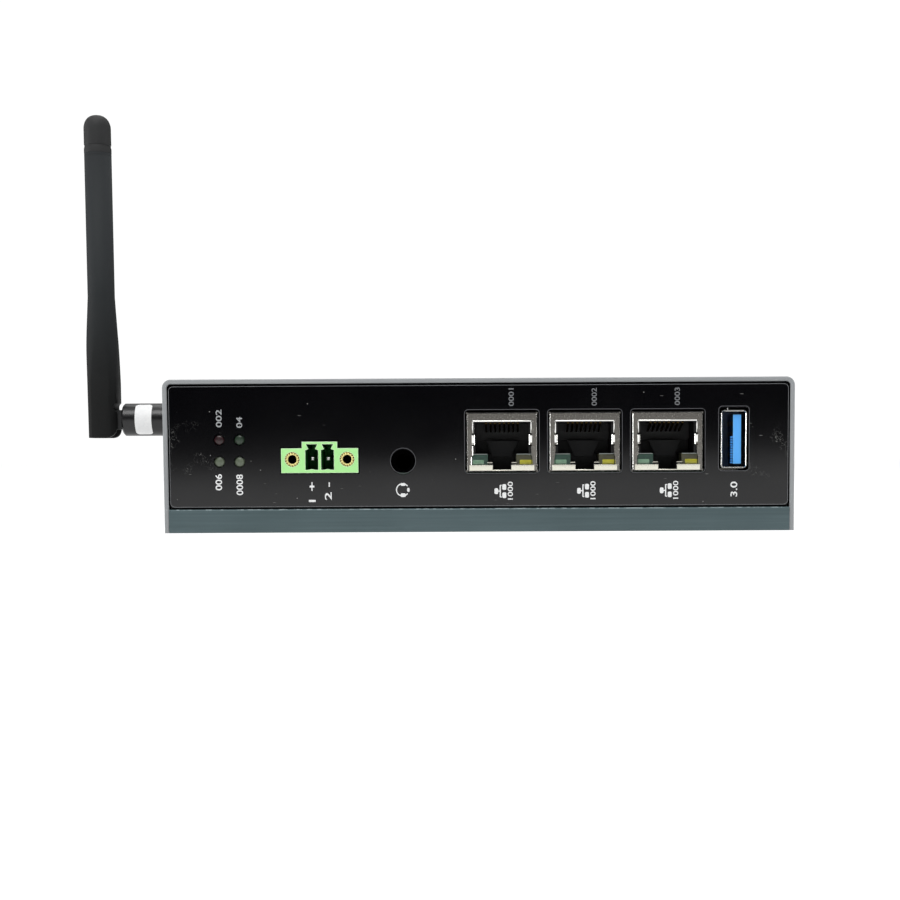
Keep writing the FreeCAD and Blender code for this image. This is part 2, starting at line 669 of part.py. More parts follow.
def port_windows(sketch):
    """Draw the front's cut-outs: three network ports, one serial port and the power header."""
    for middle in lan_middles:
        rectangle(
            sketch,
            f"{middle} - lan_width / 2 - port_gap",
            f"{board_top} - port_gap",
            f"{middle} + lan_width / 2 + port_gap",
            f"{board_top} + lan_rise + port_gap",
        )
    rectangle(
        sketch,
        f"{usb_middle} - usb_width / 2 - port_gap",
        f"{board_top} + usb_lift - port_gap",
        f"{usb_middle} + usb_width / 2 + port_gap",
        f"{board_top} + usb_lift + usb_rise + port_gap",
    )


def header_window(sketch):
    """Draw the power header's stepped cut-out and the audio hole."""
    gap = "header_gap"
    wide = f"header_width / 2 + {gap}"
    narrow = f"header_block / 2 + {gap}"
    low = f"{board_top} - {gap}"
    step = f"{board_top} + header_rise + {gap}"
    high = f"{board_top} + header_block_rise + {gap}"
    polygon(
        sketch,
        [
            (f"{header_middle} - ({wide})", low),
            (f"{header_middle} + {wide}", low),
            (f"{header_middle} + {wide}", step),
            (f"{header_middle} + {narrow}", step),
            (f"{header_middle} + {narrow}", high),
            (f"{header_middle} - ({narrow})", high),
            (f"{header_middle} - ({narrow})", step),
            (f"{header_middle} - ({wide})", step),
        ],
    )
    circle(sketch, audio_middle, f"{board_top} + audio_level", "audio_hole_radius")


def round_ports(body):
    """Round the corners of the port cut-outs."""
    tallest = max(size["lan_rise"], size["usb_lift"] + size["usb_rise"])
    lowest = board_top_number - size["port_gap"] - CLOSE
    highest = board_top_number + tallest + size["port_gap"] + CLOSE
    fillet(
        body,
        lambda edge: lies_along(edge, ALONG_Y) and lowest < edge.CenterOfMass.z < highest,
        "port_corner",
    )


def make_end_panel(name, face, sign):
    """Folded end panel: a wall with a flange on the base and another under the cover."""
    panel = start_body(name)
    profile = start_sketch(panel, "YZ_Plane")
    inner = f"{face} {sign} panel_sheet"
    deep = f"{face} {sign} (panel_sheet + panel_flange)"
    low = "base_thickness"
    polygon(
        profile,
        [
            (face, low),
            (deep, low),
            (deep, f"{low} + panel_sheet"),
            (inner, f"{low} + panel_sheet"),
            (inner, f"{panel_top} - panel_sheet"),
            (deep, f"{panel_top} - panel_sheet"),
            (deep, panel_top),
            (face, panel_top),
        ],
    )
    pad(panel, profile, f"2 * {panel_half}", middle=True)
    outer = panel.Shape.BoundBox.YMin if sign == "+" else panel.Shape.BoundBox.YMax
    fillet(panel, lambda edge: lies_along(edge, ALONG_X) and near(edge.CenterOfMass.y, outer), "panel_bend")
    far = size["case_width"] / 2 - size["cover_sheet"] - size["panel_gap"]
    bores = start_sketch(panel, "XY_Plane", "base_thickness + panel_sheet")
    line = front_screw_line if sign == "+" else rear_screw_line
    for across in (f"-{flange_screw_across}", flange_screw_across):
        circle(bores, across, line, "panel_screw_radius + screw_hole_gap")
    pocket(panel, bores, "panel_sheet")
    fillet(
        panel,
        lambda edge: lies_along(edge, ALONG_Y)
        and near(abs(edge.CenterOfMass.x), far)
        and edge.CenterOfMass.z > size["case_height"] / 2
        and edge.Length > size["panel_flange"] / 2
        and edge.BoundBox.ZMax > size["case_height"] - size["cover_sheet"] - size["panel_gap"] - CLOSE,
        "panel_corner",
    )
    return panel


def make_front():
    panel = make_end_panel("front_panel", panel_face, "+")
    windows = start_sketch(panel, "XZ_Plane", f"-({panel_face})")
    port_windows(windows)
    header_window(windows)
    reach = "(lamp_radius + lamp_window_margin)"
    left, right = (f"{column} {sign} {reach}" for column, sign in zip(lamp_columns, "-+"))
    low, high = (f"{level} {sign} {reach}" for level, sign in zip(lamp_rows, "-+"))
    rectangle(windows, left, low, right, high)
    pocket(panel, windows, "panel_sheet")
    overlay = start_body("front_overlay")
    film = start_sketch(overlay, "XZ_Plane", f"-({overlay_face})")
    rectangle(film, f"-{panel_half}", "base_thickness", panel_half, panel_top)
    pad(overlay, film, "overlay_sheet", flip=True)
    fillet(overlay, lambda edge: lies_along(edge, ALONG_Y), "panel_corner")
    windows = start_sketch(overlay, "XZ_Plane", f"-({overlay_face})")
    port_windows(windows)
    pocket(overlay, windows, "overlay_sheet")
    round_ports(overlay)
    holes = start_sketch(overlay, "XZ_Plane", f"-({overlay_face})")
    header_window(holes)
    for column in lamp_columns:
        for level in lamp_rows:
            circle(holes, column, level, "lamp_radius + lamp_hole_gap")
    pocket(overlay, holes, "overlay_sheet")
    keep(panel, overlay)


def make_rear():
    """Plain rear panel with two nuts behind it that take a rail clip."""
    panel = make_end_panel("rear_panel", rear_face, "-")
    level = "(case_height / 2)"
    holes = start_sketch(panel, "XZ_Plane", f"-({rear_face})")
    for across in ("-clip_spacing / 2", "clip_spacing / 2"):
        circle(holes, across, level, "clip_hole_radius")
    pocket(panel, holes, "panel_sheet", flip=True)
    inserts = start_body("clip_inserts")
    inserts.AllowCompound = True
    nut = start_sketch(inserts, "XZ_Plane", f"-({rear_face} - panel_sheet)")
    for across in ("-clip_spacing / 2", "clip_spacing / 2"):
        hexagon(nut, "clip_insert_flats", across, level)
        circle(nut, across, level, "clip_hole_radius")
    pad(inserts, nut, "clip_insert_length")
    keep(panel, inserts)


# ---------------------------------------------------------------- fasteners
def make_screw(name, profile):
    """A screw turned about Z, head up, with a hexagon socket in its head."""
    screw = start_body(name)
    drawing = start_sketch(screw, "XZ_Plane")
    polygon(drawing, profile)
    revolve(screw, drawing)
    socket = start_sketch(screw, "XY_Plane", profile[-1][1])
    hexagon(socket, "socket_flats")
    pocket(screw, socket, "socket_depth")
    return screw


def headed_profile(shank, head, rise, reach):
    """Half section of a cheese-headed screw, from its tip to its crown."""
    return [
        (0, f"-{reach}"),
        (shank, f"-{reach}"),
        (shank, 0),
        (head, 0),
        (head, rise),
        (0, rise),
    ]


def at(x, y, z, turn=None):
    return FreeCAD.Placement(Vector(x, y, z), turn or FreeCAD.Rotation())


def make_fasteners():
    countersunk = [
        (0, "-cover_screw_length"),
        ("cover_screw_radius", "-cover_screw_length"),
        ("cover_screw_radius", "cover_screw_radius - cover_screw_head"),
        ("cover_screw_head", 0),
        (0, 0),
    ]
    original = make_screw("cover_screw", countersunk)
    level = size["base_thickness"] / 2
    along = depth_half - size["cover_screw_inset"]
    places = [
        at(side * width_half, line, level, FreeCAD.Rotation(Vector(0, 1, 0), side * 90))
        for side in (-1, 1)
        for line in (-along, along)
    ]
    keep(copies("cover_screws", original, places))

    profile = headed_profile(
        "panel_screw_radius",
        "panel_screw_head",
        "panel_screw_rise",
        "panel_screw_reach",
    )
    original = make_screw("panel_screw", profile)
    across = width_half - size["panel_screw_inset"]
    level = size["base_thickness"] + size["panel_sheet"]
    places = [at(side * across, row, level) for side in (-1, 1) for row in flange_line_numbers]
    keep(copies("panel_screws", original, places))

    reach = "(board_thickness + standoff_height + board_screw_grip)"
    profile = headed_profile("board_screw_radius", "board_screw_head", "board_screw_rise", reach)
    original = make_screw("board_screw", profile)
    corners = [(side * hole_across_number, row) for side in (-1, 1) for row in hole_line_numbers]
    keep(copies("board_screws", original, [at(x, y, board_top_number) for x, y in corners]))

    standoff = start_body("board_standoff")
    bar = start_sketch(standoff, "XY_Plane")
    hexagon(bar, "standoff_flats")
    circle(bar, 0, 0, "board_screw_radius")
    pad(standoff, bar, "standoff_height")
    keep(copies("board_standoffs", standoff, [at(x, y, size["base_thickness"]) for x, y in corners]))


# ---------------------------------------------------------------- main board
def make_board():
    board = start_body("main_board")
    outline = start_sketch(board, "XY_Plane", board_low)
    rectangle(outline, f"-{board_half}", board_front, board_half, board_back)
    for across in (f"-{board_hole_across}", board_hole_across):
        for along in board_hole_lines:
            circle(outline, across, along, "board_screw_radius + screw_hole_gap")
    pad(board, outline, "board_thickness")
    fillet(board, lambda edge: lies_along(edge, ALONG_Z), "board_corner")
    half = "processor_size / 2"
    chip = block(
        "processor",
        (f"-{half}", f"-{half}", f"{board_low} - processor_rise"),
        (half, half, board_low),
    )
    pad_top = f"{boss_top} + pad_thickness"
    pad_piece = block("thermal_pad", (f"-{half}", f"-{half}", boss_top), (half, half, pad_top))
    keep(board, chip, pad_piece)

    chips = []
    for number, start in enumerate(("0", "memory_length + part_spacing")):
        low = (start, "-memory_width / 2 - memory_offset", board_top)
        high = (f"{start} + memory_length", "memory_width / 2 - memory_offset", f"{board_top} + memory_rise")
        chips.append(block(f"memory_chip_{number}", low, high))
    keep(fuse("memory_chips", chips))

    coils = []
    cans = []
    coil_line = f"({board_front} + header_depth + inductor_setback)"
    port_back = f"({overlay_face} + lan_depth)"
    for number in range(2):
        step = f"{number - 1} * (inductor_size + part_spacing)"
        left = f"({header_middle} + part_spacing / 2 + {step})"
        low = (left, coil_line, board_top)
        high = (f"{left} + inductor_size", f"{coil_line} + inductor_size", f"{board_top} + inductor_rise")
        coils.append(block(f"power_inductor_{number}", low, high))
    for number in range(CAPACITOR_COUNT):
        step = f"{number} * (capacitor_width + part_spacing)"
        left = f"({header_middle} + inductor_size + 1.5 * part_spacing + {step})"
        low = (left, f"{port_back} + part_spacing", board_top)
        high = (
            f"{left} + capacitor_width",
            f"{port_back} + part_spacing + capacitor_length",
            f"{board_top} + capacitor_rise",
        )
        cans.append(block(f"capacitor_{number}", low, high))
    keep(fuse("power_inductors", coils))
    keep(fuse("capacitors", cans))
    make_modem()
    make_cell()


def make_modem():
    """Modem card in its edge socket, with its screening can, and the card holder beside it."""
    left = f"(-{board_half} + modem_inset)"
    right = f"({left} + modem_width)"
    back = f"({board_back} - modem_setback)"
    start = f"{back} - modem_length"
    level = f"({board_top} + modem_rise)"
    socket_body = block(
        "modem_socket_body",
        (left, f"{start} - socket_back", board_top),
        (right, f"{start} - socket_back + socket_length", f"{level} + modem_sheet + socket_lip"),
    )
    slot = block(
        "modem_socket_slot",
        (f"{left} - {PAST}", start, level),
        (f"{right} + {PAST}", f"{start} + socket_length", f"{level} + modem_sheet"),
    )
    socket = cut("modem_socket", socket_body, [slot])
    card_top = f"{level} + modem_sheet"
    card = block("modem_board", (left, start, level), (right, back, card_top))
    can = block(
        "modem_can",
        (f"{left} + modem_shield_margin", f"{start} + socket_length + modem_shield_margin", card_top),
        (f"{right} - modem_shield_margin", f"{back} - modem_tail", f"{card_top} + modem_shield_rise"),
    )
    latch = block(
        "modem_latch",
        (f"{left} + modem_latch_inset", f"{back} - modem_latch_depth", board_top),
        (f"{right} - modem_latch_inset", back, level),
    )
    modem = fuse("modem_card", [card, can])
    holder = block(
        "sim_holder",
        (f"{right} + sim_gap", f"{back} - sim_length", board_top),
        (f"{right} + sim_gap + sim_width", back, f"{board_top} + sim_rise"),
    )
    keep(socket, modem, latch, holder)


def make_cell():
    """Clock cell in a square holder with a round seat."""
    across = f"({board_half} - cell_inset)"
    along = f"({board_back} - cell_radius - cell_setback)"
    outer = "(cell_radius + cell_wall)"
    shell = block(
        "cell_holder_shell",
        (f"{across} - {outer}", f"{along} - {outer}", board_top),
        (f"{across} + {outer}", f"{along} + {outer}", f"{board_top} + cell_floor + cell_rim"),
    )
    seat = (across, along, f"{board_top} + cell_floor")
    hollow = rod("cell_holder_hollow", seat, "z", "cell_radius", "cell_rise")
    holder = cut("coin_cell_holder", shell, [hollow])
    cell = rod("coin_cell", seat, "z", "cell_radius", "cell_rise")
    keep(holder, cell)


# ---------------------------------------------------------------- network ports
def make_lan_port(number, middle):
    """Screened eight-way jack, latch down, in its own frame: face at y = 0 and board at z = 0."""
    place = (middle, overlay_face, board_top)
    name = f"lan_{number + 1}"
    half = "lan_width / 2"

    shield = start_body(f"{name}_shield", place)
    outside = start_sketch(shield, "XZ_Plane")
    rectangle(outside, f"-{half}", 0, half, "lan_rise")
    pad(shield, outside, "lan_depth", flip=True)
    hollow = start_sketch(shield, "XY_Plane")
    rectangle(hollow, f"-{half} + lan_sheet", "lan_sheet", f"{half} - lan_sheet", "lan_depth - lan_sheet")
    pocket(shield, hollow, "lan_rise - lan_sheet", flip=True)
    mouth = start_sketch(shield, "XZ_Plane")
    side = "lan_mouth / 2"
    lamp = "lan_lamp_mouth / 2"
    slot = "latch_slot / 2"
    shoulder = "plug_floor - lan_shoulder"
    ledge = f"{shoulder} - (lan_lamp_mouth - lan_mouth) / 2"
    right = [
        (side, "lan_mouth_top"),
        (side, shoulder),
        (lamp, ledge),
        (lamp, "lan_sill"),
        (slot, "lan_sill"),
        (slot, "latch_slot_floor"),
    ]
    left = [(f"-({across})", up) for across, up in reversed(right)]
    polygon(mouth, right + left)
    pocket(shield, mouth, "lan_sheet")
    # The blank's corners are relieved where the front folds meet the sides.
    reliefs = start_sketch(shield, "XZ_Plane")
    for edge, sign in ((f"-{half}", "+"), (half, "-")):
        for low, high in (("0", "lan_relief"), ("lan_rise - lan_relief", "lan_rise")):
            ends = sorted([edge, f"{edge} {sign} lan_relief"], key=lambda text: text != edge and sign == "+")
            rectangle(reliefs, ends[0], low, ends[1], high)
    pocket(shield, reliefs, "lan_sheet * 2")
    # The sheet is folded back into the opening: one lip on top, and a contact finger on each side.
    lips = start_sketch(shield, "XZ_Plane")
    lip_end = f"{side} - lip_margin"
    rectangle(lips, f"-({lip_end})", "lan_mouth_top", lip_end, "lan_mouth_top + lan_sheet")
    top = "finger_low + finger_rise"
    rectangle(lips, f"-{side} - finger_root", "finger_low", f"-{side} + finger_reach", top)
    rectangle(lips, f"{side} - finger_reach", "finger_low", f"{side} + finger_root", top)
    pad(shield, lips, "lan_lip", flip=True)

    housing = start_body(f"{name}_housing", place)
    block_drawing = start_sketch(housing, "XZ_Plane", "-(lan_lip + lan_sheet)")
    rectangle(block_drawing, f"-{half} + lan_sheet", 0, f"{half} - lan_sheet", "lan_rise - lan_sheet")
    pad(housing, block_drawing, "lan_depth - lan_lip - 2 * lan_sheet", flip=True)
    cavity = start_sketch(housing, "XZ_Plane")
    rectangle(cavity, "-plug_width / 2", "plug_floor", "plug_width / 2", "plug_shelf")
    pocket(housing, cavity, "plug_depth")
    upper = start_sketch(housing, "XZ_Plane")
    rectangle(upper, "-plug_width / 2", f"plug_shelf - {JOINED}", "plug_width / 2", "plug_top")
    pocket(housing, upper, "plug_depth - plug_shelf_depth")
    channel = start_sketch(housing, "XZ_Plane")
    steps = [
        ("latch_width / 2", f"plug_floor + {JOINED}"),
        ("latch_width / 2", "latch_floor"),
        (slot, "latch_floor"),
        (slot, "latch_slot_floor"),
    ]
    polygon(channel, steps + [(f"-({across})", up) for across, up in reversed(steps)])
    pocket(housing, channel, "plug_depth - plug_shelf_depth")
    seats = start_sketch(housing, "XZ_Plane")
    for sign in ("-", ""):
        near_side = f"{sign}(latch_width / 2 - {JOINED})"
        far_side = f"{sign}(lan_lamp_mouth / 2)"
        ends = (far_side, near_side) if sign else (near_side, far_side)
        rectangle(seats, ends[0], "lan_sill", ends[1], "plug_floor - lamp_fit")
    pocket(housing, seats, "lamp_front + lamp_length")

    contacts = start_body(f"{name}_contacts", place)
    contacts.AllowCompound = True
    wire = start_sketch(contacts, "YZ_Plane", f"-contact_pitch * {LAN_CONTACT_COUNT - 1} / 2")
    begin = "(lan_lip + lan_sheet + contact_start)"
    finish = f"({begin} + contact_length)"
    polygon(
        wire,
        [
            (begin, "plug_top"),
            (f"{begin} + contact_foot", "plug_top"),
            (finish, "plug_top - contact_drop + contact_sheet"),
            (finish, "plug_top - contact_drop"),
            (begin, "plug_top - contact_sheet"),
        ],
    )
    bar = pad(contacts, wire, "contact_width", middle=True)
    row_pattern(contacts, bar, "X_Axis", "contact_pitch", LAN_CONTACT_COUNT)

    keep(shield, housing, contacts)
    for colour, sign in (("green", "-"), ("yellow", "")):
        ends = [f"{sign}(latch_width / 2)", f"{sign}(lan_lamp_mouth / 2 - lamp_fit)"]
        if sign:
            ends.reverse()
        lamp_piece = block(
            f"{name}_{colour}_lamp",
            (f"{middle} + {ends[0]}", f"{overlay_face} + lamp_front", f"{board_top} + lan_sill"),
            (
                f"{middle} + {ends[1]}",
                f"{overlay_face} + lamp_front + lamp_length",
                f"{board_top} + plug_floor - 2 * lamp_fit",
            ),
        )
        keep(lamp_piece)


# ---------------------------------------------------------------- serial port
def make_usb_port():
    """Upright serial port in its own frame: face at y = 0 and board at z = 0."""
    place = (usb_middle, overlay_face, board_top)
    half = "usb_width / 2"
    top = "(usb_lift + usb_rise)"

    shell = start_body("usb_shell", place)
    outside = start_sketch(shell, "XZ_Plane")
    rectangle(outside, f"-{half}", "usb_lift", half, top)
    pad(shell, outside, "usb_depth", flip=True)
    fillet(shell, lambda edge: lies_along(edge, ALONG_Y), "usb_corner")
    inside = start_sketch(shell, "XZ_Plane")
    inner = [f"-{half} + usb_sheet", "usb_lift + usb_sheet", f"{half} - usb_sheet", f"{top} - usb_sheet"]
    rectangle(inside, *inner)
    pocket(shell, inside, "usb_depth - usb_sheet")
    inner_half = size["usb_width"] / 2 - size["usb_sheet"]
    fillet(
        shell,
        lambda edge: lies_along(edge, ALONG_Y) and near(abs(edge.CenterOfMass.x), inner_half),
        "usb_corner - usb_sheet",
    )
    feet = start_sketch(shell, "XY_Plane")
    for low in ("usb_cavity", "usb_depth - 2 * usb_foot"):
        rectangle(feet, f"-{half} + usb_corner", low, f"{half} - usb_corner", f"{low} + usb_foot")
    pad(shell, feet, "usb_lift")

    insulator = start_body("usb_insulator", place)
    core = start_sketch(insulator, "XZ_Plane", "-usb_cavity")
    rectangle(core, *inner)
    pad(insulator, core, "usb_depth - usb_cavity - usb_sheet", flip=True)
    fillet(
        insulator,
        lambda edge: lies_along(edge, ALONG_Y),
        "usb_corner - usb_sheet",
    )
    blade = start_sketch(insulator, "XZ_Plane", "-tongue_front")
    middle = "(usb_lift + usb_rise / 2)"
    left = "(tongue_offset - tongue_thickness / 2)"
    rectangle(
        blade,
        left,
        f"{middle} - tongue_rise / 2",
        "tongue_offset + tongue_thickness / 2",
        f"{middle} + tongue_rise / 2",
    )
    pad(insulator, blade, "usb_cavity - tongue_front", flip=True)

    contacts = start_body("usb_contacts", place)
    contacts.AllowCompound = True
    strip = start_sketch(contacts, "XZ_Plane", "-(tongue_front + usb_contact_start)")
    low = f"({middle} - usb_contact_pitch * {USB_CONTACT_COUNT - 1} / 2 - usb_contact_width / 2)"
    rectangle(strip, f"{left} - usb_contact_rise", low, left, f"{low} + usb_contact_width")
    bar = pad(contacts, strip, "usb_cavity - tongue_front - usb_contact_start", flip=True)
    row_pattern(contacts, bar, "Z_Axis", "usb_contact_pitch", USB_CONTACT_COUNT)
    keep(shell, insulator, contacts)


# ---------------------------------------------------------------- power header
def make_power_header():
    """Two-way flanged pluggable header in its own frame: face at y = 0 and board at z = 0."""
    face = f"{overlay_face} - header_proud"
    place = (header_middle, face, board_top)
    header = start_body("power_header", place)
    outline = start_sketch(header, "XZ_Plane")
    wide = "header_width / 2"
    narrow = "header_block / 2"
    right = [
        (wide, 0),
        (wide, "header_rise"),
        (narrow, "header_rise"),
        (narrow, "header_block_rise"),
    ]
    polygon(outline, right + [(f"-({across})", up) for across, up in reversed(right)])
    pad(header, outline, "header_depth", flip=True)
    windows = start_sketch(header, "XZ_Plane")
    for sign in ("-", "+"):
        middle = f"({sign}header_pitch / 2)"
        right = [
            ("window_width / 2", "window_floor"),
            ("window_width / 2", "window_shoulder"),
            ("throat_width / 2", "window_throat"),
            ("throat_top_width / 2", "window_top"),
        ]
        corners = [(f"{middle} + {across}", up) for across, up in right]
        corners += [(f"{middle} - {across}", up) for across, up in reversed(right)]
        corners += [(f"{middle} - window_width / 4", "window_floor")]
        corners += [(middle, "window_floor + window_bump")]
        corners += [(f"{middle} + window_width / 4", "window_floor")]
        polygon(windows, corners)
    pocket(header, windows, "header_cavity")
    bores = start_sketch(header, "XZ_Plane")
    for sign in ("-", "+"):
        circle(bores, f"{sign}insert_spacing / 2", "insert_level", "insert_radius")
    pocket(header, bores, "insert_length")
    passes = start_sketch(header, "XZ_Plane")
    half = "power_pin_size / 2"
    for sign in ("-", "+"):
        middle = f"({sign}header_pitch / 2)"
        rectangle(
            passes,
            f"{middle} - {half}",
            f"power_pin_level - {half}",
            f"{middle} + {half}",
            f"power_pin_level + {half}",
        )
    pocket(header, passes, "header_depth")

    pins = []
    inserts = []
    for number, sign in enumerate(("-", "+")):
        middle = f"({header_middle} {sign} header_pitch / 2)"
        level = f"{board_top} + power_pin_level"
        bar = block(
            f"power_pin_bar_{number}",
            (f"{middle} - {half}", f"{face} + power_pin_front", f"{level} - {half}"),
            (f"{middle} + {half}", f"{face} + header_depth + power_pin_size", f"{level} + {half}"),
        )
        leg = block(
            f"power_pin_leg_{number}",
            (f"{middle} - {half}", f"{face} + header_depth", board_top),
            (f"{middle} + {half}", f"{face} + header_depth + power_pin_size", f"{level} + {half}"),
        )
        pins.append(fuse(f"power_pin_{number}", [bar, leg]))
        start = (f"{header_middle} {sign} insert_spacing / 2", face, f"{board_top} + insert_level")
        shell = rod(f"insert_shell_{number}", start, "y", "insert_radius", "insert_length")
        thread = rod(f"insert_thread_{number}", start, "y", "insert_hole_radius", "insert_length")
        inserts.append(cut(f"power_insert_{number}", shell, [thread]))
    group = doc.addObject("Part::Compound", "power_pins")
    group.Label = "power_pins"
    group.Links = pins
    brass = doc.addObject("Part::Compound", "power_inserts")
    brass.Label = "power_inserts"
    brass.Links = inserts
    keep(header, group, brass)


# ---------------------------------------------------------------- audio socket and status lamps
def make_audio():
    face = board_front
    body = block(
        "audio_body",
        (f"{audio_middle} - audio_width / 2", face, board_top),
        (f"{audio_middle} + audio_width / 2", f"{face} + audio_depth", f"{board_top} + audio_rise"),
    )
    start = (audio_middle, face, f"{board_top} + audio_level")
    bore = rod("audio_bore", start, "y", "audio_bore_radius", "audio_bore_depth")
    keep(cut("audio_jack", body, [bore]))


def make_lamps():
    """Two upright holders, each with a lower and an upper lamp whose tip fills its hole in the overlay."""
    names = [["activity_lamp", "power_lamp"], ["user_lamp", "modem_lamp"]]

    def tip(edge):
        return near(edge.CenterOfMass.y, size["lamp_recess"]) and is_ring(edge, size["lamp_radius"])

    for column, across in enumerate(lamp_columns):
        half = "lamp_holder_width / 2"
        body = block(
            f"lamp_holder_body_{column + 1}",
            (f"{across} - {half}", board_front, board_top),
            (f"{across} + {half}", f"{board_front} + lamp_holder_depth", f"{board_top} + lamp_holder_rise"),
        )
        seats = []
        for row, level in enumerate(lamp_rows):
            reach = "(lamp_radius + lamp_seat_gap)"
            low = (f"{across} - {reach}", board_front, f"{level} - {reach}")
            high = (f"{across} + {reach}", f"{board_front} + lamp_seat", f"{level} + {reach}")
            seats.append(block(f"lamp_seat_{column}_{row}", low, high))
            lamp = start_body(names[column][row], (across, overlay_face, level))
            drawing = start_sketch(lamp, "XY_Plane")
            reach = f"({board_front} - {overlay_face} + lamp_seat)"
            rectangle(drawing, 0, "lamp_recess", "lamp_radius", reach)
            revolve(lamp, drawing)
            chamfer(lamp, tip, f"lamp_radius * {DOME}")
            keep(lamp)
        keep(cut(f"lamp_holder_{column + 1}", body, seats))


# ---------------------------------------------------------------- antenna
OUTWARD = FreeCAD.Rotation(Vector(0, 1, 0), -90)
antenna_place = ("-case_width / 2", antenna_line, antenna_level)


def turned(name, profile, place=antenna_place, turn=OUTWARD):
    """A piece turned about the antenna connector's axis, which leaves the cover's left side."""
    made = start_body(name, place, turn)
    drawing = start_sketch(made, "XZ_Plane")
    polygon(drawing, profile)
    revolve(made, drawing)
    return made


def make_connector():
    inner = "(-cover_sheet)"
    jack = turned(
        "sma_jack",
        [
            ("jack_bore", f"{inner} - jack_flange - jack_tail"),
            ("jack_tail_radius", f"{inner} - jack_flange - jack_tail"),
            ("jack_tail_radius", f"{inner} - jack_flange"),
            ("jack_radius", f"{inner} - jack_flange"),
            ("jack_radius", "jack_reach"),
            ("jack_bore", "jack_reach"),
        ],
    )
    flange = start_sketch(jack, "XY_Plane", inner)
    hexagon(flange, "jack_flats")
    circle(flange, 0, 0, "(jack_radius + jack_bore) / 2")
    pad(jack, flange, "jack_flange", flip=True)
    insulator = turned(
        "sma_insulator",
        [
            ("jack_contact_radius", f"{inner} - jack_flange - jack_tail"),
            ("jack_bore", f"{inner} - jack_flange - jack_tail"),
            ("jack_bore", "jack_reach - plug_pin_reach - part_gap"),
            ("jack_contact_radius", "jack_reach - plug_pin_reach - part_gap"),
        ],
    )
    contact = turned(
        "sma_contact",
        [
            (0, f"{inner} - jack_flange - jack_tail"),
            ("jack_contact_radius", f"{inner} - jack_flange - jack_tail"),
            ("jack_contact_radius", "jack_reach - part_gap"),
            ("jack_contact_bore", "jack_reach - part_gap"),
            ("jack_contact_bore", "jack_reach - plug_pin_reach - part_gap"),
            (0, "jack_reach - plug_pin_reach - part_gap"),
        ],
    )
    washer = turned(
        "sma_washer",
        [
            ("jack_radius", 0),
            ("washer_radius", 0),
            ("washer_radius", "washer_sheet"),
            ("jack_radius", "washer_sheet"),
        ],
    )
    nut = start_body("sma_nut", antenna_place, OUTWARD)
    bar = start_sketch(nut, "XY_Plane", "washer_sheet")
    hexagon(bar, "jack_flats")
    circle(bar, 0, 0, "jack_radius")
    pad(nut, bar, "nut_thickness")
    keep(jack, insulator, contact, washer, nut)


def make_knuckle():
    """Coupling sleeve, and the knuckle that turns in it and carries the tongue of the fold."""
    end = "(pivot_reach - pivot_clear)"
    sleeve = turned(
        "antenna_sleeve",
        [
            ("jack_radius + sleeve_gap", "sleeve_start"),
            ("sleeve_radius", "sleeve_start"),
            ("sleeve_radius", end),
            ("shaft_radius + shaft_gap", end),
            ("shaft_radius + shaft_gap", "sleeve_shoulder"),
            ("jack_radius + sleeve_gap", "sleeve_shoulder"),
        ],
    )
    rims = [size["pivot_reach"] - size["pivot_clear"], size["sleeve_start"]]
    chamfer(
        sleeve,
        lambda edge: is_ring(edge, size["sleeve_radius"])
        and any(near(edge.CenterOfMass.z, level) for level in rims),
        "sleeve_break",
    )
    collar_top = "(sleeve_shoulder - part_gap)"
    tongue_start = f"({end} + part_gap)"
    body = turned(
        "knuckle_shaft",
        [
            (0, "jack_reach + part_gap - plug_pin_reach"),
            ("plug_pin_radius", "jack_reach + part_gap - plug_pin_reach"),
            ("plug_pin_radius", "jack_reach + part_gap"),
            ("collar_radius", "jack_reach + part_gap"),
            ("collar_radius", collar_top),
            ("shaft_radius", collar_top),
            ("shaft_radius", tongue_start),
            (0, tongue_start),
        ],
    )
    bar = start_sketch(body, "XZ_Plane")
    rectangle(bar, "-tongue_half", tongue_start, "tongue_half", "pivot_reach")
    pad(body, bar, "tongue_sheet", middle=True)
    eye = start_sketch(body, "XZ_Plane")
    circle(eye, 0, "pivot_reach", "tongue_half")
    pad(body, eye, "tongue_sheet", middle=True)
    hole = start_sketch(body, "XZ_Plane")
    circle(hole, 0, "pivot_reach", "hinge_pin_radius + hinge_pin_gap")
    pocket(body, hole, f"tongue_sheet + 2 * {PAST}", middle=True)
    body.Label = "antenna_knuckle"
    keep(sleeve, body)


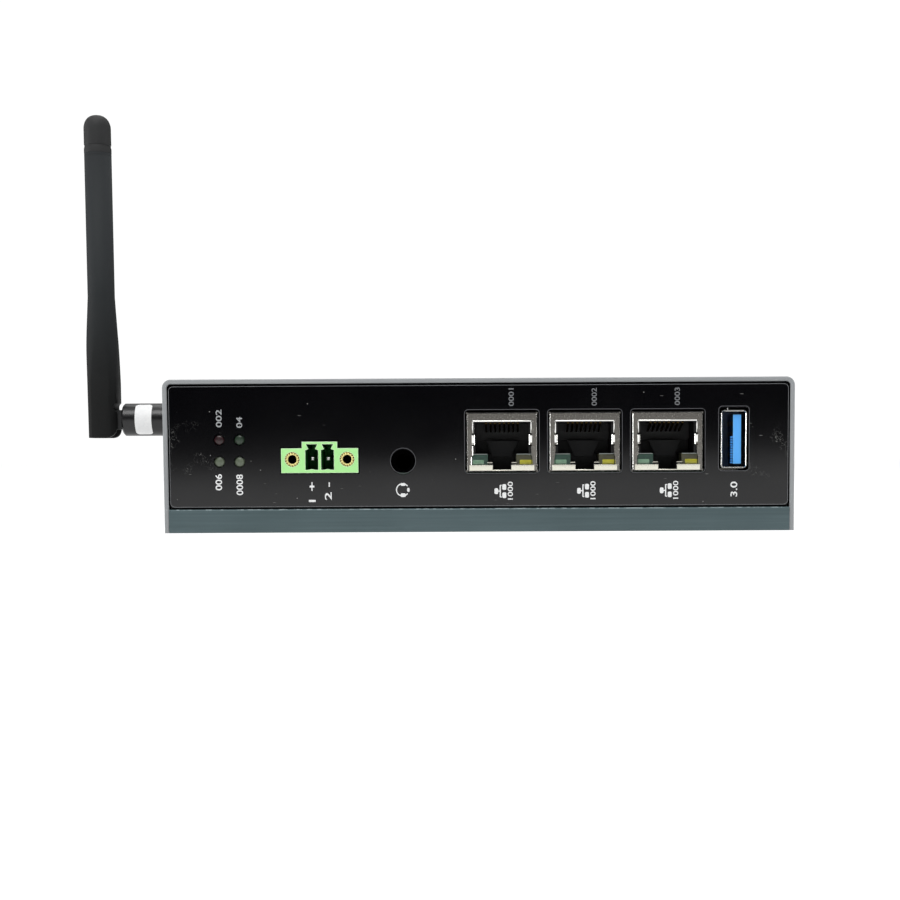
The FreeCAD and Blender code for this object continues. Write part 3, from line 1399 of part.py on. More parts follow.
def make_whip():
    """Moulded whip: round above, with four flats and a fork below that straddles the knuckle's tongue."""
    pivot = ("-case_width / 2 - pivot_reach", antenna_line, antenna_level)
    upright = FreeCAD.Rotation()
    solid = turned(
        "whip_solid",
        [
            (0, "-whip_heel"),
            ("whip_root_radius", "-whip_heel"),
            ("whip_root_radius", "whip_root_top"),
            ("whip_radius", "whip_taper_top"),
            ("whip_radius", "whip_joint"),
            ("cap_neck", "whip_joint"),
            ("cap_neck", "whip_joint + cap_groove"),
            (0, "whip_joint + cap_groove"),
        ],
        pivot,
        upright,
    )
    flats = start_sketch(solid, "XY_Plane", "-whip_heel")
    reach = f"(whip_root_radius + {PAST})"
    rectangle(flats, f"-{reach}", f"-{reach}", reach, reach)
    rectangle(flats, "-whip_flat", "-whip_flat", "whip_flat", "whip_flat")
    pocket(solid, flats, "whip_taper_top + whip_heel", flip=True)

    x, y, z = pivot
    gap = "(tongue_half + part_gap)"
    half = "(tongue_sheet / 2 + part_gap)"
    low = f"{z} - whip_heel - {PAST}"
    far = f"{x} + {reach}"
    mouth = block("fork_mouth", (x, f"{y} - {half}", low), (far, f"{y} + {half}", f"{z} + {gap}"))
    throat = block("fork_throat", (f"{x} - {gap}", f"{y} - {half}", low), (x, f"{y} + {half}", z))
    crown = rod("fork_crown", (x, f"{y} - {half}", z), "y", gap, f"2 * {half}")
    pin_start = (x, f"{y} - hinge_pin_length / 2", z)
    bore = rod("fork_bore", pin_start, "y", "hinge_pin_radius", "hinge_pin_length")
    corner_box = block(
        "heel_corner",
        (f"{x} + whip_flat - whip_heel_round", f"{y} - {reach}", low),
        (far, f"{y} + {reach}", f"{z} - whip_heel + whip_heel_round"),
    )
    corner_rod = rod(
        "heel_round",
        (f"{x} + whip_flat - whip_heel_round", f"{y} - {reach}", f"{z} - whip_heel + whip_heel_round"),
        "y",
        "whip_heel_round",
        f"2 * {reach}",
    )
    corner = cut("heel_cut", corner_box, [corner_rod])
    notch = rod(
        "neck_relief",
        (f"{x} + whip_flat + notch_out", f"{y} - {reach}", f"{z} + {gap} + notch_up"),
        "y",
        "whip_notch",
        f"2 * {reach}",
    )
    whip = cut("antenna_whip", solid, [mouth, throat, crown, bore, corner, notch])
    pin = rod("antenna_hinge_pin", pin_start, "y", "hinge_pin_radius", "hinge_pin_length")

    base = "(whip_joint + cap_groove)"
    cap = turned(
        "antenna_cap",
        [
            (0, base),
            ("whip_radius", base),
            ("whip_radius", f"{base} + cap_length - cap_dome"),
            ("cap_shoulder", f"{base} + cap_length - cap_shoulder_drop"),
            ("cap_crown", f"{base} + cap_length"),
            (0, f"{base} + cap_length"),
        ],
        pivot,
        upright,
    )
    keep(whip, pin, cap)


def finish():
    """Check every object and every node, then write one STEP file for each node."""
    doc.recompute()
    for item in doc.Objects:
        if "Invalid" in item.State or "Error" in item.State:
            raise RuntimeError(f"{item.Label} failed: {item.State}")
    for node in nodes:
        if node.Shape.isNull() or not node.Shape.isValid() or not node.Shape.Solids:
            raise RuntimeError(f"{node.Label} has no valid solid")
    os.makedirs("parts", exist_ok=True)
    for node in nodes:
        node.Shape.exportStep(os.path.join("parts", f"{node.Label}.step"))
    print(f"{len(nodes)} nodes written")


make_base()
make_cover()
make_front()
make_rear()
make_fasteners()
make_board()
for port, port_middle in enumerate(lan_middles):
    make_lan_port(port, port_middle)
make_usb_port()
make_power_header()
make_audio()
make_lamps()
make_connector()
make_knuckle()
make_whip()
finish()
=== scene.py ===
# %% [markdown]
# # A fanless industrial computer, dressed for its portrait
# The solid pieces come ready made, each one a real part of the machine: a milled base, a folded
# cover, panels, sockets, a board and a jointed aerial. This lesson gives every piece its finish,
# and remakes the few whose small shapes catch the eye. The solids are loaded first, because all
# that follows takes its place from them.

# %% Load the solid pieces
import json
import math
from functools import partial

import bmesh
import bpy
from mathutils import Matrix, Vector

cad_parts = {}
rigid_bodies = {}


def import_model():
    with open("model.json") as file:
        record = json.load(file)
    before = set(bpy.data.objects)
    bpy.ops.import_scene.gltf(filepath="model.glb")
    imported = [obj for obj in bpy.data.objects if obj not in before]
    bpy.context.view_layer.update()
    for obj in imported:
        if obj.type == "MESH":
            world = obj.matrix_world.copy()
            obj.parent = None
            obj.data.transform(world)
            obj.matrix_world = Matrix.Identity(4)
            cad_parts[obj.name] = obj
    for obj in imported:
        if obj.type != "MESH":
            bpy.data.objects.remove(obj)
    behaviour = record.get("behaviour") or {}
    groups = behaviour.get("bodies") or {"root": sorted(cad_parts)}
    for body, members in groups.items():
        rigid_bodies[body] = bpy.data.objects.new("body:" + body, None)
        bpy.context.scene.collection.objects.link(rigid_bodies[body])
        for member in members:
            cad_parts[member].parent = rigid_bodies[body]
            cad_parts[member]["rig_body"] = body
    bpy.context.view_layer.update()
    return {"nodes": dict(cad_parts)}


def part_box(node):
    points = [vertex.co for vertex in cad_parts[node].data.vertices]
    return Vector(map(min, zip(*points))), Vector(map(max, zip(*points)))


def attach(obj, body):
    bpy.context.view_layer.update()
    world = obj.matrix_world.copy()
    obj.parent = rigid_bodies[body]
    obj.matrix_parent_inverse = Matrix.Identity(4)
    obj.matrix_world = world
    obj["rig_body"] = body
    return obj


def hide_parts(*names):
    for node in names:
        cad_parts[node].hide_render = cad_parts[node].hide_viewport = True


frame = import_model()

MM = 0.001
nodes = frame["nodes"]

# %% [markdown]
# ## Where the eye stands
# The machine is seen from straight in front and a little above the middle of its panel, as on a
# seller's page. A lens of moderate length from less than half a metre keeps the sides nearly
# hidden, yet lets the port openings show some depth. The lens is shifted, not tilted more, so
# that upright edges stay upright.

# %% Camera
def place_object(name, data):
    """Put new data into the scene as an object at the origin."""
    placed = bpy.data.objects.new(name, data)
    bpy.context.scene.collection.objects.link(placed)
    return placed


def place_camera(stand, yaw, pitch, roll):
    """Stand the camera in front of the panel, with its turns in radians."""
    lens = bpy.data.cameras.new("front_camera")
    lens.sensor_width = 36.0
    lens.lens = 62.97
    lens.shift_x = -0.060
    lens.shift_y = 0.1393
    lens.clip_start = 0.01
    lens.clip_end = 50.0
    camera = place_object("front_camera", lens)
    turn = Matrix.Rotation(yaw, 4, "Z") @ Matrix.Rotation(pitch, 4, "X")
    turn = turn @ Matrix.Rotation(roll, 4, "Y") @ Matrix.Rotation(math.radians(90), 4, "X")
    camera.matrix_world = Matrix.Translation(stand) @ turn
    bpy.context.scene.camera = camera
    bpy.context.scene.view_settings.view_transform = "Standard"
    return camera


camera = place_camera((6.51 * MM, -400.0 * MM, 16.49 * MM), 0.00294, -0.07485, 0.00524)
print("camera stands at", [round(v, 3) for v in camera.location])

# %% [markdown]
# ## Two small tools for finishes
# Colours are chosen as sRGB hex values, the kind a paint chart gives, but shaders add light in
# linear numbers, so one function turns the first into the second. A finish is a small graph of
# nodes. One helper adds a node, sets its sockets and joins it up, which keeps each recipe short
# enough to read as a sentence. Two sums come up so often that they have names of their own.

# %% Colour and node helpers
def to_linear(hex_colour):
    """Turn an sRGB hex colour such as "5E7276" into the linear colour that shaders use."""
    parts = [int(hex_colour[start:start + 2], 16) / 255 for start in (0, 2, 4)]
    return [p / 12.92 if p <= 0.04045 else ((p + 0.055) / 1.055) ** 2.4 for p in parts] + [1.0]


def tones(dark, light):
    """The settings of a Mix node that blends two hex colours."""
    return {"data_type": "RGBA", 6: to_linear(dark), 7: to_linear(light)}


# Settings of the two sums: the product of two measures, and the larger of them.
times = {"operation": "MULTIPLY"}
larger_of = {"operation": "MAXIMUM"}


def output_of(link):
    """The socket that a link means: a node's first output in use, or the one named beside it."""
    if isinstance(link, tuple):
        return link[0].outputs[link[1]]
    return next(socket for socket in link.outputs if socket.enabled)


def add_node(owner, kind, settings=None, links=None):
    """Add a shader node, set its sockets or options, and join its inputs to other nodes."""
    node = owner.node_tree.nodes.new("ShaderNode" + kind)
    for key, value in (settings or {}).items():
        if isinstance(key, str) and hasattr(node, key):
            setattr(node, key, value)
        else:
            node.inputs[key].default_value = value
    for key, link in (links or {}).items():
        owner.node_tree.links.new(output_of(link), node.inputs[key])
    return node


def start_finish(name, settings):
    """Begin a finish: its shader with plain numbers, a way to add nodes, and the object's coordinates."""
    material = bpy.data.materials.new(name)
    material.use_nodes = True
    shader = material.node_tree.nodes["Principled BSDF"]
    for key, value in settings.items():
        shader.inputs[key].default_value = value
    add = partial(add_node, material)
    return material, shader, add, (add("TexCoord"), "Object")


def per_mm(size):
    """How many pattern cells fit in a metre when one cell is this many millimetres wide."""
    return 1.0 / (size * MM)


def finish_with(material, shader, colour=None, roughness=None, normal=None):
    """Join the last nodes of a recipe to the shader."""
    for key, link in (("Base Color", colour), ("Roughness", roughness), ("Normal", normal)):
        if link:
            material.node_tree.links.new(output_of(link), shader.inputs[key])
    print(material.name, "takes", len(material.node_tree.nodes), "nodes")
    return material


print("mid grey 808080 in linear light:", round(to_linear("808080")[0], 4))

# %% [markdown]
# ## The base: sand-blasted and anodised aluminium
# The base is a block of aluminium, milled, blasted matt and anodised a smoky blue-green. The dye
# sits in a porous skin, so the metal keeps a soft sheen instead of a mirror. What gives it away is
# the fine grain of the blasting, and faint level streaks where the cutter passed. Noise stretched
# along the length makes the streaks, and a much finer noise makes the grain.

# %% Anodised aluminium
def anodised_aluminium():
    """Smoky blue-green anodising with level tool streaks, a fine blasted grain and a painted highlight along
    the strip's top edge.
    """
    plain = {"Metallic": 0.45, "Roughness": 0.5}
    material, shader, add, place = start_finish("teal_anodised_aluminium", plain)
    # Streaks: cells 30 mm long, 0.5 mm high. The grain is drawn at 0.3 mm so that it still shows.
    long_cells = add("Mapping", {"Scale": (per_mm(30), per_mm(3), per_mm(0.5))}, {"Vector": place})
    streaks = add("TexNoise", {"Scale": 1.0, "Detail": 3.0}, {"Vector": long_cells})
    grain = add("TexNoise", {"Scale": per_mm(0.3)}, {"Vector": place})
    patches = add("TexNoise", {"Scale": per_mm(18)}, {"Vector": place})
    tone = add("Mix", tones("475659", "5E7074"), {0: streaks})
    spread = add("MapRange", {"From Min": 0.35, "From Max": 0.65, "To Max": 0.3}, {"Value": patches})
    dyed = add("Mix", {"data_type": "RGBA", 7: to_linear("3F5052")}, {0: spread, 6: tone})
    # Painted highlight, partly bare rubbed metal: the upper edge of the front strip is lightened in short
    # dashes, about 1 mm long.
    strip_top = 5.07 * MM
    strip_front = -49.6 * MM
    axes = add("SeparateXYZ", {}, {"Vector": place})
    above = add("Math", {"operation": "GREATER_THAN", 1: strip_top}, {0: (axes, "Z")})
    ahead = add("Math", {"operation": "LESS_THAN", 1: strip_front}, {0: (axes, "Y")})
    edge = add("Math", times, {0: above, 1: ahead})
    dashes = add("TexNoise", {"Scale": per_mm(1.1), "Detail": 3.0}, {"Vector": place})
    broken = add("MapRange", {"From Min": 0.47, "From Max": 0.6}, {"Value": dashes})
    painted_edge_glint = add("Math", times, {0: edge, 1: broken})
    colour = add("Mix", {"data_type": "RGBA", 7: to_linear("8E9C9F")}, {0: painted_edge_glint, 6: dyed})
    rough = add("MapRange", {"To Min": 0.38, "To Max": 0.55}, {"Value": grain})
    bump = add("Bump", {"Strength": 0.25, "Distance": 0.02 * MM}, {"Height": grain})
    return finish_with(material, shader, colour, rough, bump)


finishes = {"anodised_aluminium": anodised_aluminium()}

# %% [markdown]
# ## The cover: powder-coated steel
# The cover is folded sheet steel with a baked powder coat. The powder melts into a skin with a
# gentle orange-peel swell and tiny pale specks. It is a plastic skin, so it isn't metallic. The
# swell is a broad low bump, and the specks are a sharp-edged noise that only lifts the colour.

# %% Powder coat
def powder_coat():
    """Light grey baked powder with orange peel and pale specks."""
    material, shader, add, place = start_finish("grey_powder_coat", {"Roughness": 0.5, "IOR": 1.5})
    swell = add("TexNoise", {"Scale": per_mm(1.2), "Detail": 1.0}, {"Vector": place})
    specks = add("TexNoise", {"Scale": per_mm(0.45)}, {"Vector": place})
    clouds = add("TexNoise", {"Scale": per_mm(25), "Detail": 3.0}, {"Vector": place})
    pale = add("MapRange", {"From Min": 0.64, "From Max": 0.78}, {"Value": specks})
    base = add("Mix", tones("878A8C", "939698"), {0: clouds})
    colour = add("Mix", {"data_type": "RGBA", 7: to_linear("A8AAAB")}, {0: pale, 6: base})
    rough = add("MapRange", {"To Min": 0.42, "To Max": 0.6}, {"Value": specks})
    bump = add("Bump", {"Strength": 0.35, "Distance": 0.05 * MM}, {"Height": swell})
    return finish_with(material, shader, colour, rough, bump)


finishes["powder_coat_grey"] = powder_coat()

# %% [markdown]
# ## The panels: black enamel on sheet metal
# The front and rear panels are painted a satin black. Thin paint over sheet is nearly smooth, with
# a very fine tooth that spreads the highlights. Many finishes of this machine are made alike: two
# close tones that wander over soft clouds, and a finer tooth that sets shine and relief. So the
# recipe is a helper, and each later finish says only what its own clouds, tones and tooth are.

# %% Two wandering tones, and the black panel enamel
def mottled(name, settings, blend, clouds, tooth=None, polish=None, relief=None):
    """A finish of two tones blended over clouds, with a tooth under its shine, or else the clouds."""
    material, shader, add, place = start_finish(name, settings)
    wander = add("TexNoise", clouds, {"Vector": place})
    grain = add("TexNoise", tooth, {"Vector": place}) if tooth else wander
    colour = add("Mix", tones(*blend), {0: wander})
    rough = polish and add("MapRange", polish, {"Value": grain})
    bump = relief and add("Bump", relief, {"Height": grain})
    return finish_with(material, shader, colour, rough, bump)


# Satin black enamel: an even black whose fine tooth keeps the highlights soft.
finishes["black_paint"] = mottled("satin_black_enamel", {"Roughness": 0.42, "IOR": 1.5}, ("121214", "1C1C1F"),
                                  {"Scale": per_mm(12)}, {"Scale": per_mm(0.35)},
                                  {"To Min": 0.34, "To Max": 0.5}, {"Strength": 0.3, "Distance": 0.02 * MM})

# %% [markdown]
# ## The front film: glossy printed polycarbonate
# The whole front is covered by a clear film, printed black on its back. Its face is nearly a
# mirror, so it shows every mote of dust and each hairline scratch, mostly near the two ends where
# hands hold the machine. Dust is a cell pattern with only the innermost points kept. A scratch is
# a very long thin cell of the same kind. A film is never quite flat, so a faint twist bends what
# it mirrors.

# %% Printed film
def printed_film():
    """Glossy black film with dust, hairline scratches, scuffs and a faint twist."""
    material, shader, add, place = start_finish("glossy_black_film", {"Roughness": 0.08, "IOR": 1.46})
    axes = add("SeparateXYZ", {}, {"Vector": place})
    side = add("Math", {"operation": "ABSOLUTE"}, {0: axes})
    handled = add("MapRange", {"From Min": 20 * MM, "From Max": 66 * MM, "To Min": 0.22,
                  "To Max": 0.8}, {"Value": side})
    # Dust motes are about 0.15 mm across and 2.6 mm apart, each in its own cell.
    cells = add("TexVoronoi", {"Scale": per_mm(2.6)}, {"Vector": place})
    mote = add("MapRange", {"From Min": 0.05, "From Max": 0.03}, {"Value": cells})
    chosen = add("SeparateXYZ", {}, {"Vector": (cells, "Color")})
    few = add("Math", {"operation": "LESS_THAN"}, {0: chosen, 1: handled})
    dust = add("Math", times, {0: mote, 1: few})
    # Hairlines: cells 9 mm long and 1.1 mm wide, turned a little so that they lean.
    leaning = add("Mapping", {"Rotation": (0, math.radians(68), 0),
                  "Scale": (per_mm(9), per_mm(9), per_mm(1.1))}, {"Vector": place})
    lines = add("TexVoronoi", {"Scale": 1.0}, {"Vector": leaning})
    hair = add("MapRange", {"From Min": 0.055, "From Max": 0.03}, {"Value": lines})
    scratch = add("Math", times, {0: hair, 1: handled})
    marks = add("Math", larger_of, {0: dust, 1: scratch})
    # Scuffs half way up the two ends: a noise's level lines make swirls a few millimetres wide.
    swirl = add("TexNoise", {"Scale": per_mm(1.2), "Distortion": 0.8}, {"Vector": place})
    level = add("Math", {"operation": "PINGPONG", 1: 0.5}, {0: swirl})
    thread = add("MapRange", {"From Min": 0.489, "From Max": 0.499}, {"Value": level})
    blotch = add("TexNoise", {"Scale": per_mm(6)}, {"Vector": place})
    spotty = add("MapRange", {"From Min": 0.5, "From Max": 0.64}, {"Value": blotch})
    ends = add("MapRange", {"From Min": 56 * MM, "From Max": 64 * MM}, {"Value": side})
    rise = add("Math", {"operation": "SUBTRACT", 1: 18 * MM}, {0: (axes, "Z")})
    offset = add("Math", {"operation": "ABSOLUTE"}, {0: rise})
    belt = add("MapRange", {"From Min": 8 * MM, "From Max": 3 * MM}, {"Value": offset})
    reach = add("Math", times, {0: belt, 1: ends})
    worn = add("Math", times, {0: spotty, 1: reach})
    scuff = add("Math", times, {0: worn, 1: thread})
    all_marks = add("Math", larger_of, {0: marks, 1: scuff})
    shown = add("Math", {"operation": "MULTIPLY", 1: 0.55}, {0: all_marks})
    colour = add("Mix", tones("060608", "B9BAB6"), {0: shown})
    smear = add("TexNoise", {"Scale": per_mm(14), "Detail": 3.0}, {"Vector": place})
    rough = add("MapRange", {"To Min": 0.05, "To Max": 0.11}, {"Value": smear})
    twist = add("Math", times, {0: axes, 1: (axes, "Z")})
    bump = add("Bump", {"Distance": 0.04}, {"Height": twist})
    return finish_with(material, shader, colour, rough, bump)


finishes["gloss_overlay"] = printed_film()

# %% [markdown]
# ## Plated and plain metals
# Nickel, tin, zinc and gold are put on in a bath, so they share a build: a metal whose tone and
# polish wander in small patches. What changes is the colour, the size of the patches and how
# sharp the shine is. One recipe, given those three things, makes the whole family.

# %% Plated metals
def plated_metal(name, dark, light, patch, smooth, dull):
    """A plated metal: two tones that wander over patches of a given size in millimetres."""
    return mottled(name, {"Metallic": 1.0}, (dark, light),
                   {"Scale": per_mm(patch), "Detail": 4.0, "Roughness": 0.65}, None,
                   {"From Min": 0.3, "From Max": 0.7, "To Min": smooth, "To Max": dull},
                   {"Strength": 0.2, "Distance": 0.01 * MM})


for slot, *recipe in (
    # Blackened steel: dark oxide, oiled, with a low shine.
    ("black_steel", "black_oxide_steel", "1B1B1D", "2E2E31", 0.8, 0.28, 0.45),
    # Zinc plate: bluish silver with soft patches.
    ("zinc_steel", "bright_zinc_plate", "9EA3A8", "C4C8CC", 1.0, 0.2, 0.38),
    # Turned brass: warm yellow, darker where it has been handled.
    ("brass", "turned_brass", "D8B26A", "F6E3A4", 0.5, 0.2, 0.4),
    # Nickel on tin-plated sheet: satin, with the mottle of rolled and plated steel.
    ("nickel_sheet", "satin_nickel_sheet", "7E7B75", "9C9993", 0.35, 0.18, 0.3),
    # Gold flash over nickel: thin, pale and smooth.
    ("gold_plate", "gold_flash", "BD9445", "E4C57C", 0.5, 0.18, 0.32),
    # Matt tin on pins and solder tails: pale, and a little cloudy.
    ("tin_plate", "matt_tin_plate", "B9B9B4", "DADAD6", 0.5, 0.22, 0.36),
):
    finishes[slot] = plated_metal(*recipe)

# %% [markdown]
# ## Moulded plastics
# Connector bodies are moulded in engineering plastics. The steel mould is spark-eroded, which
# leaves a fine even bloom on the plastic. Green, blue and black differ in their dye and in how far
# light soaks in, so the recipe takes two close tones and a shine. A little scattering under the
# skin keeps thin walls from looking like painted metal.

# %% Moulded plastics
bloom_noise = {"Scale": per_mm(0.25)}
bloom_relief = {"Strength": 0.25, "Distance": 0.015 * MM}


def soaking(weight, reach_mm):
    """Shader settings for light that soaks in: how much of it, and how far each colour goes."""
    return {"Subsurface Weight": weight, "Subsurface Radius": Vector(reach_mm) * MM, "Subsurface Scale": 1.0}


def moulded_plastic(name, deep, bright, shine, soak=0.0):
    """A moulded plastic with an eroded bloom, drawn at 0.25 mm so that it shows."""
    return mottled(name, {"IOR": 1.5, **soaking(soak, (0.3, 0.5, 0.3))}, (deep, bright), {"Scale": per_mm(6)},
                   bloom_noise, {"To Min": shine - 0.07, "To Max": shine + 0.07}, bloom_relief)


for slot, *recipe in (
    # Chip packages: a charcoal moulding with a matt laser-ready face.
    ("chip_black", "charcoal_chip_epoxy", "1A1A1B", "262628", 0.55),
    # Thermal pad: soft grey silicone.
    ("pad_grey", "grey_silicone_pad", "8A8D90", "9B9EA1", 0.7, 0.1),
    # Connector bodies: a deep black, the clear blue of fast ports, and the pale green of terminals.
    ("black_moulding", "black_connector_plastic", "030304", "070708", 0.5),
    ("blue_moulding", "blue_connector_plastic", "469CEC", "5EB2FA", 0.35),
    ("green_moulding", "green_terminal_plastic", "9FE08C", "B4F09F", 0.42),
    # Insulators: a warm white that lets some light in.
    ("white_insulator", "white_insulator_plastic", "DCDAD2", "EFEDE6", 0.4, 0.2),
    # The aerial's cap and band: matt rubber, nearly black.
    ("black_antenna", "matt_black_aerial_rubber", "121314", "191A1B", 0.68),
):
    finishes[slot] = moulded_plastic(*recipe)
# The sleeve's nylon is turned and polished, so it is deeper and shinier than the rubber.
sleeve_nylon = moulded_plastic("polished_black_nylon", "040406", "09090B", 0.3)

# %% [markdown]
# ## Lamp lenses
# The status lamps are small epoxy domes, unlit. Unlit epoxy is milky: light goes in, scatters and
# comes out tinted, and the surface keeps a sharp glint. A weak transmission with strong scattering
# gives that. Fine clouding stands for the chip and wires that show faintly inside.

# %% Lamp epoxy
def lamp_epoxy(name, deep, bright):
    """Milky tinted epoxy with a glossy skin."""
    milky = {"Roughness": 0.18, "IOR": 1.54, "Transmission Weight": 0.25, **soaking(0.4, (0.6, 0.6, 0.6))}
    return mottled(name, milky, (deep, bright), {"Scale": per_mm(0.8), "Detail": 3.0}, None,
                   {"To Min": 0.24, "To Max": 0.42})


for slot, *recipe in (
    # Status lamps at rest: a red and a green so dark that only their tint shows, and a clouded grey.
    ("red_lens", "red_lamp_epoxy", "1A080B", "3C1219"),
    ("green_lens", "green_lamp_epoxy", "1C2C1F", "304A34"),
    ("grey_lens", "clouded_lamp_epoxy", "56604F", "79846F"),
    # Port lamp blocks: smoked epoxy with a hint of the colour they would light up in.
    ("teal_lens", "teal_port_lamp_epoxy", "1E3A30", "2F5446"),
    ("yellow_lens", "yellow_port_lamp_epoxy", "3A3A26", "53523A"),
):
    finishes[slot] = lamp_epoxy(*recipe)

# %% [markdown]
# ## The circuit board
# A board is glass cloth in epoxy under a green solder mask. Copper tracks show through the mask as
# slightly lighter lines on a square grid. A brick pattern with wide gaps gives runs of track, and
# the cloth's weave makes a faint check under the gloss.

# %% Circuit board
def board_laminate():
    """Green solder mask over copper runs and a glass weave."""
    material, shader, add, place = start_finish("green_board_laminate", {"Roughness": 0.3, "IOR": 1.5})
    tracks = add("TexBrick", {"Scale": per_mm(1.0), "Brick Width": 9.0, "Row Height": 0.5,
                 "Mortar Size": 0.13, "Color1": to_linear("0F4A2A"), "Color2": to_linear("16593A"),
                 "Mortar": to_linear("0A331D")}, {"Vector": place})
    weave = add("TexChecker", {"Scale": per_mm(0.5)}, {"Vector": place})
    rough = add("MapRange", {"To Min": 0.26, "To Max": 0.36}, {"Value": (weave, "Fac")})
    bump = add("Bump", {"Strength": 0.3, "Distance": 0.03 * MM}, {"Height": (tracks, "Fac")})
    return finish_with(material, shader, tracks, rough, bump)


finishes["board_green"] = board_laminate()

# %% [markdown]
# ## The finishes, given out
# Each solid already says which finish it was made for. The table that the recipes have filled pairs
# those words with finishes, and a loop hands them out, so a piece can't be forgotten.

# %% Give every solid its finish
def give_finishes():
    """Put the finish that each solid names into its material slots."""
    for node in nodes.values():
        for slot in node.material_slots:
            slot.material = finishes[slot.material.name.split(".")[0]]


def repaint(node_name, finish):
    """Give a solid another finish than the one handed out."""
    for slot in nodes[node_name].material_slots:
        slot.material = finish


give_finishes()
print("finishes given out:", len(finishes))

# %% [markdown]
# ## Rubber paler towards the tip, and black for painted shadow
# Two more finishes need care. The aerial's rubber is darker at its foot and paler towards the tip, so its
# tone follows height, swayed a little by clouds.
# The other is painted shadow, put at the bottom of a gap. A common surface mirrors a few percent of the white
# studio and would look grey down there, so this one has no mirror part at all.

# %% Aerial rubber and painted shadow black
def aerial_rubber():
    """Matt black rubber, darker at the foot and paler towards the tip."""
    plain = {"IOR": 1.5, "Specular IOR Level": 0.22}
    material, shader, add, place = start_finish("aerial_rubber_paler_upwards", plain)
    axes = add("SeparateXYZ", {}, {"Vector": place})
    bloom = add("TexNoise", {"Scale": per_mm(0.3)}, {"Vector": place})
    flow = add("TexNoise", {"Scale": per_mm(14)}, {"Vector": place})
    # The paler tone sets in from 34 to 78 mm above the origin, and the clouds shift that by up to 12 mm.
    sway = add("Math", {"operation": "MULTIPLY_ADD", 1: 12 * MM}, {0: flow, 2: (axes, "Z")})
    paler_upwards = add("MapRange", {"interpolation_type": "SMOOTHSTEP", "From Min": 34 * MM,
                "From Max": 78 * MM}, {"Value": sway})
    colour = add("Mix", tones("0A0B0B", "272A2C"), {0: paler_upwards})
    rough = add("MapRange", {"To Min": 0.62, "To Max": 0.74}, {"Value": bloom})
    bump = add("Bump", bloom_relief, {"Height": bloom})
    return finish_with(material, shader, colour, rough, bump)


boot_rubber = aerial_rubber()
# Painted shadow for the bottom of a gap: a near-black that gives back almost no light.
painted_shadow_black = mottled("black_painted_shadow", {"Roughness": 1.0, "Specular IOR Level": 0.0}, ("010101", "050506"),
                     {"Scale": per_mm(0.4)})

# %% [markdown]
# ## How a remade piece joins the machine
# A remade piece stands at the origin with its place in its mesh, takes a finish, rides on the body
# that carries it, and may stand in for the plain solid. One helper does these four things for all
# the pieces that follow. Two more do the commonest work of shaping: a lathe, which turns an outline
# about an axis, and a file, which takes edges or corners back.

# %% Finish and seat a piece
def seat_piece(name, shape, finish, body, instead_of=None, smooth=True):
    """Turn a bmesh into a finished piece, carried by a body and maybe in place of a solid."""
    mesh = bpy.data.meshes.new(name)
    shape.to_mesh(mesh)
    shape.free()
    if smooth:
        mesh.shade_smooth()
        mesh.set_sharp_from_angle(angle=math.radians(20))
    mesh.materials.append(finish)
    piece = place_object(name, mesh)
    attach(piece, body)
    if instead_of:
        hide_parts(instead_of)
    print(name, "has", len(mesh.polygons), "faces")
    return piece


def turn_outline(shape, outline, middle, upright, steps):
    """Turn an outline, given as radii and places along a level or upright axis, about a middle."""
    x, y, z = middle
    corners = [shape.verts.new((x + radius, y, along) if upright else (x + radius, along, z))
               for radius, along in outline]
    edges = [shape.edges.new(pair) for pair in zip(corners, corners[1:])]
    bmesh.ops.spin(shape, geom=corners + edges, cent=middle, axis=(0, 0, 1) if upright else (0, 1, 0),
                   angle=math.tau, steps=steps, use_merge=True)
    bmesh.ops.remove_doubles(shape, verts=shape.verts, dist=0.001 * MM)
    bmesh.ops.recalc_face_normals(shape, faces=shape.faces)


def file_back(shape, geom, reach, steps, affect="EDGES"):
    """Take edges or corners back by a reach, in one flat or in small steps, and give the new faces."""
    return bmesh.ops.bevel(shape, geom=geom, offset=reach, segments=steps, profile=0.5, affect=affect,
                           clamp_overlap=True, material=-1)["faces"]


print("helpers ready:", seat_piece.__name__, turn_outline.__name__, file_back.__name__)

# %% [markdown]
# ## Status lamps
# A lamp is a round epoxy lens, cast with a straight barrel that fills its hole and a domed tip. One
# outline, turned about the lamp's axis, makes all of it. The dome is nearly a quarter ellipse,
# flatter than half a ball, as moulded lenses are.

# %% Turn the four lamps
dome_deep = 0.5 * MM
for lamp_name, finish_name in (("activity_lamp", "grey_lens"), ("user_lamp", "grey_lens"),
                               ("power_lamp", "red_lens"), ("modem_lamp", "green_lens")):
    low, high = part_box(lamp_name)
    radius = (high.x - low.x) / 2
    turns = [step * math.pi / 16 for step in range(9)]
    outline = [(radius * math.sin(t) ** 0.8, low.y + dome_deep * (1 - math.cos(t))) for t in turns]
    outline += [(radius, high.y), (0.0, high.y)]
    lamp = bmesh.new()
    turn_outline(lamp, outline, ((low.x + high.x) / 2, low.y, (low.z + high.z) / 2), False, 32)
    lens = seat_piece(lamp_name + "_lens", lamp, finishes[finish_name], "case", lamp_name)

# %% [markdown]
# ## Knurled brass inserts
# The plug's screws bite into two brass inserts, pressed into the green housing. An insert is a
# tube whose outside is knurled, so that it can't turn in the plastic. From the front the knurl
# shows as a ring of points round a bright flat face. A spun tube gives the body. Every second
# outer face is then drawn outwards, which makes the teeth.

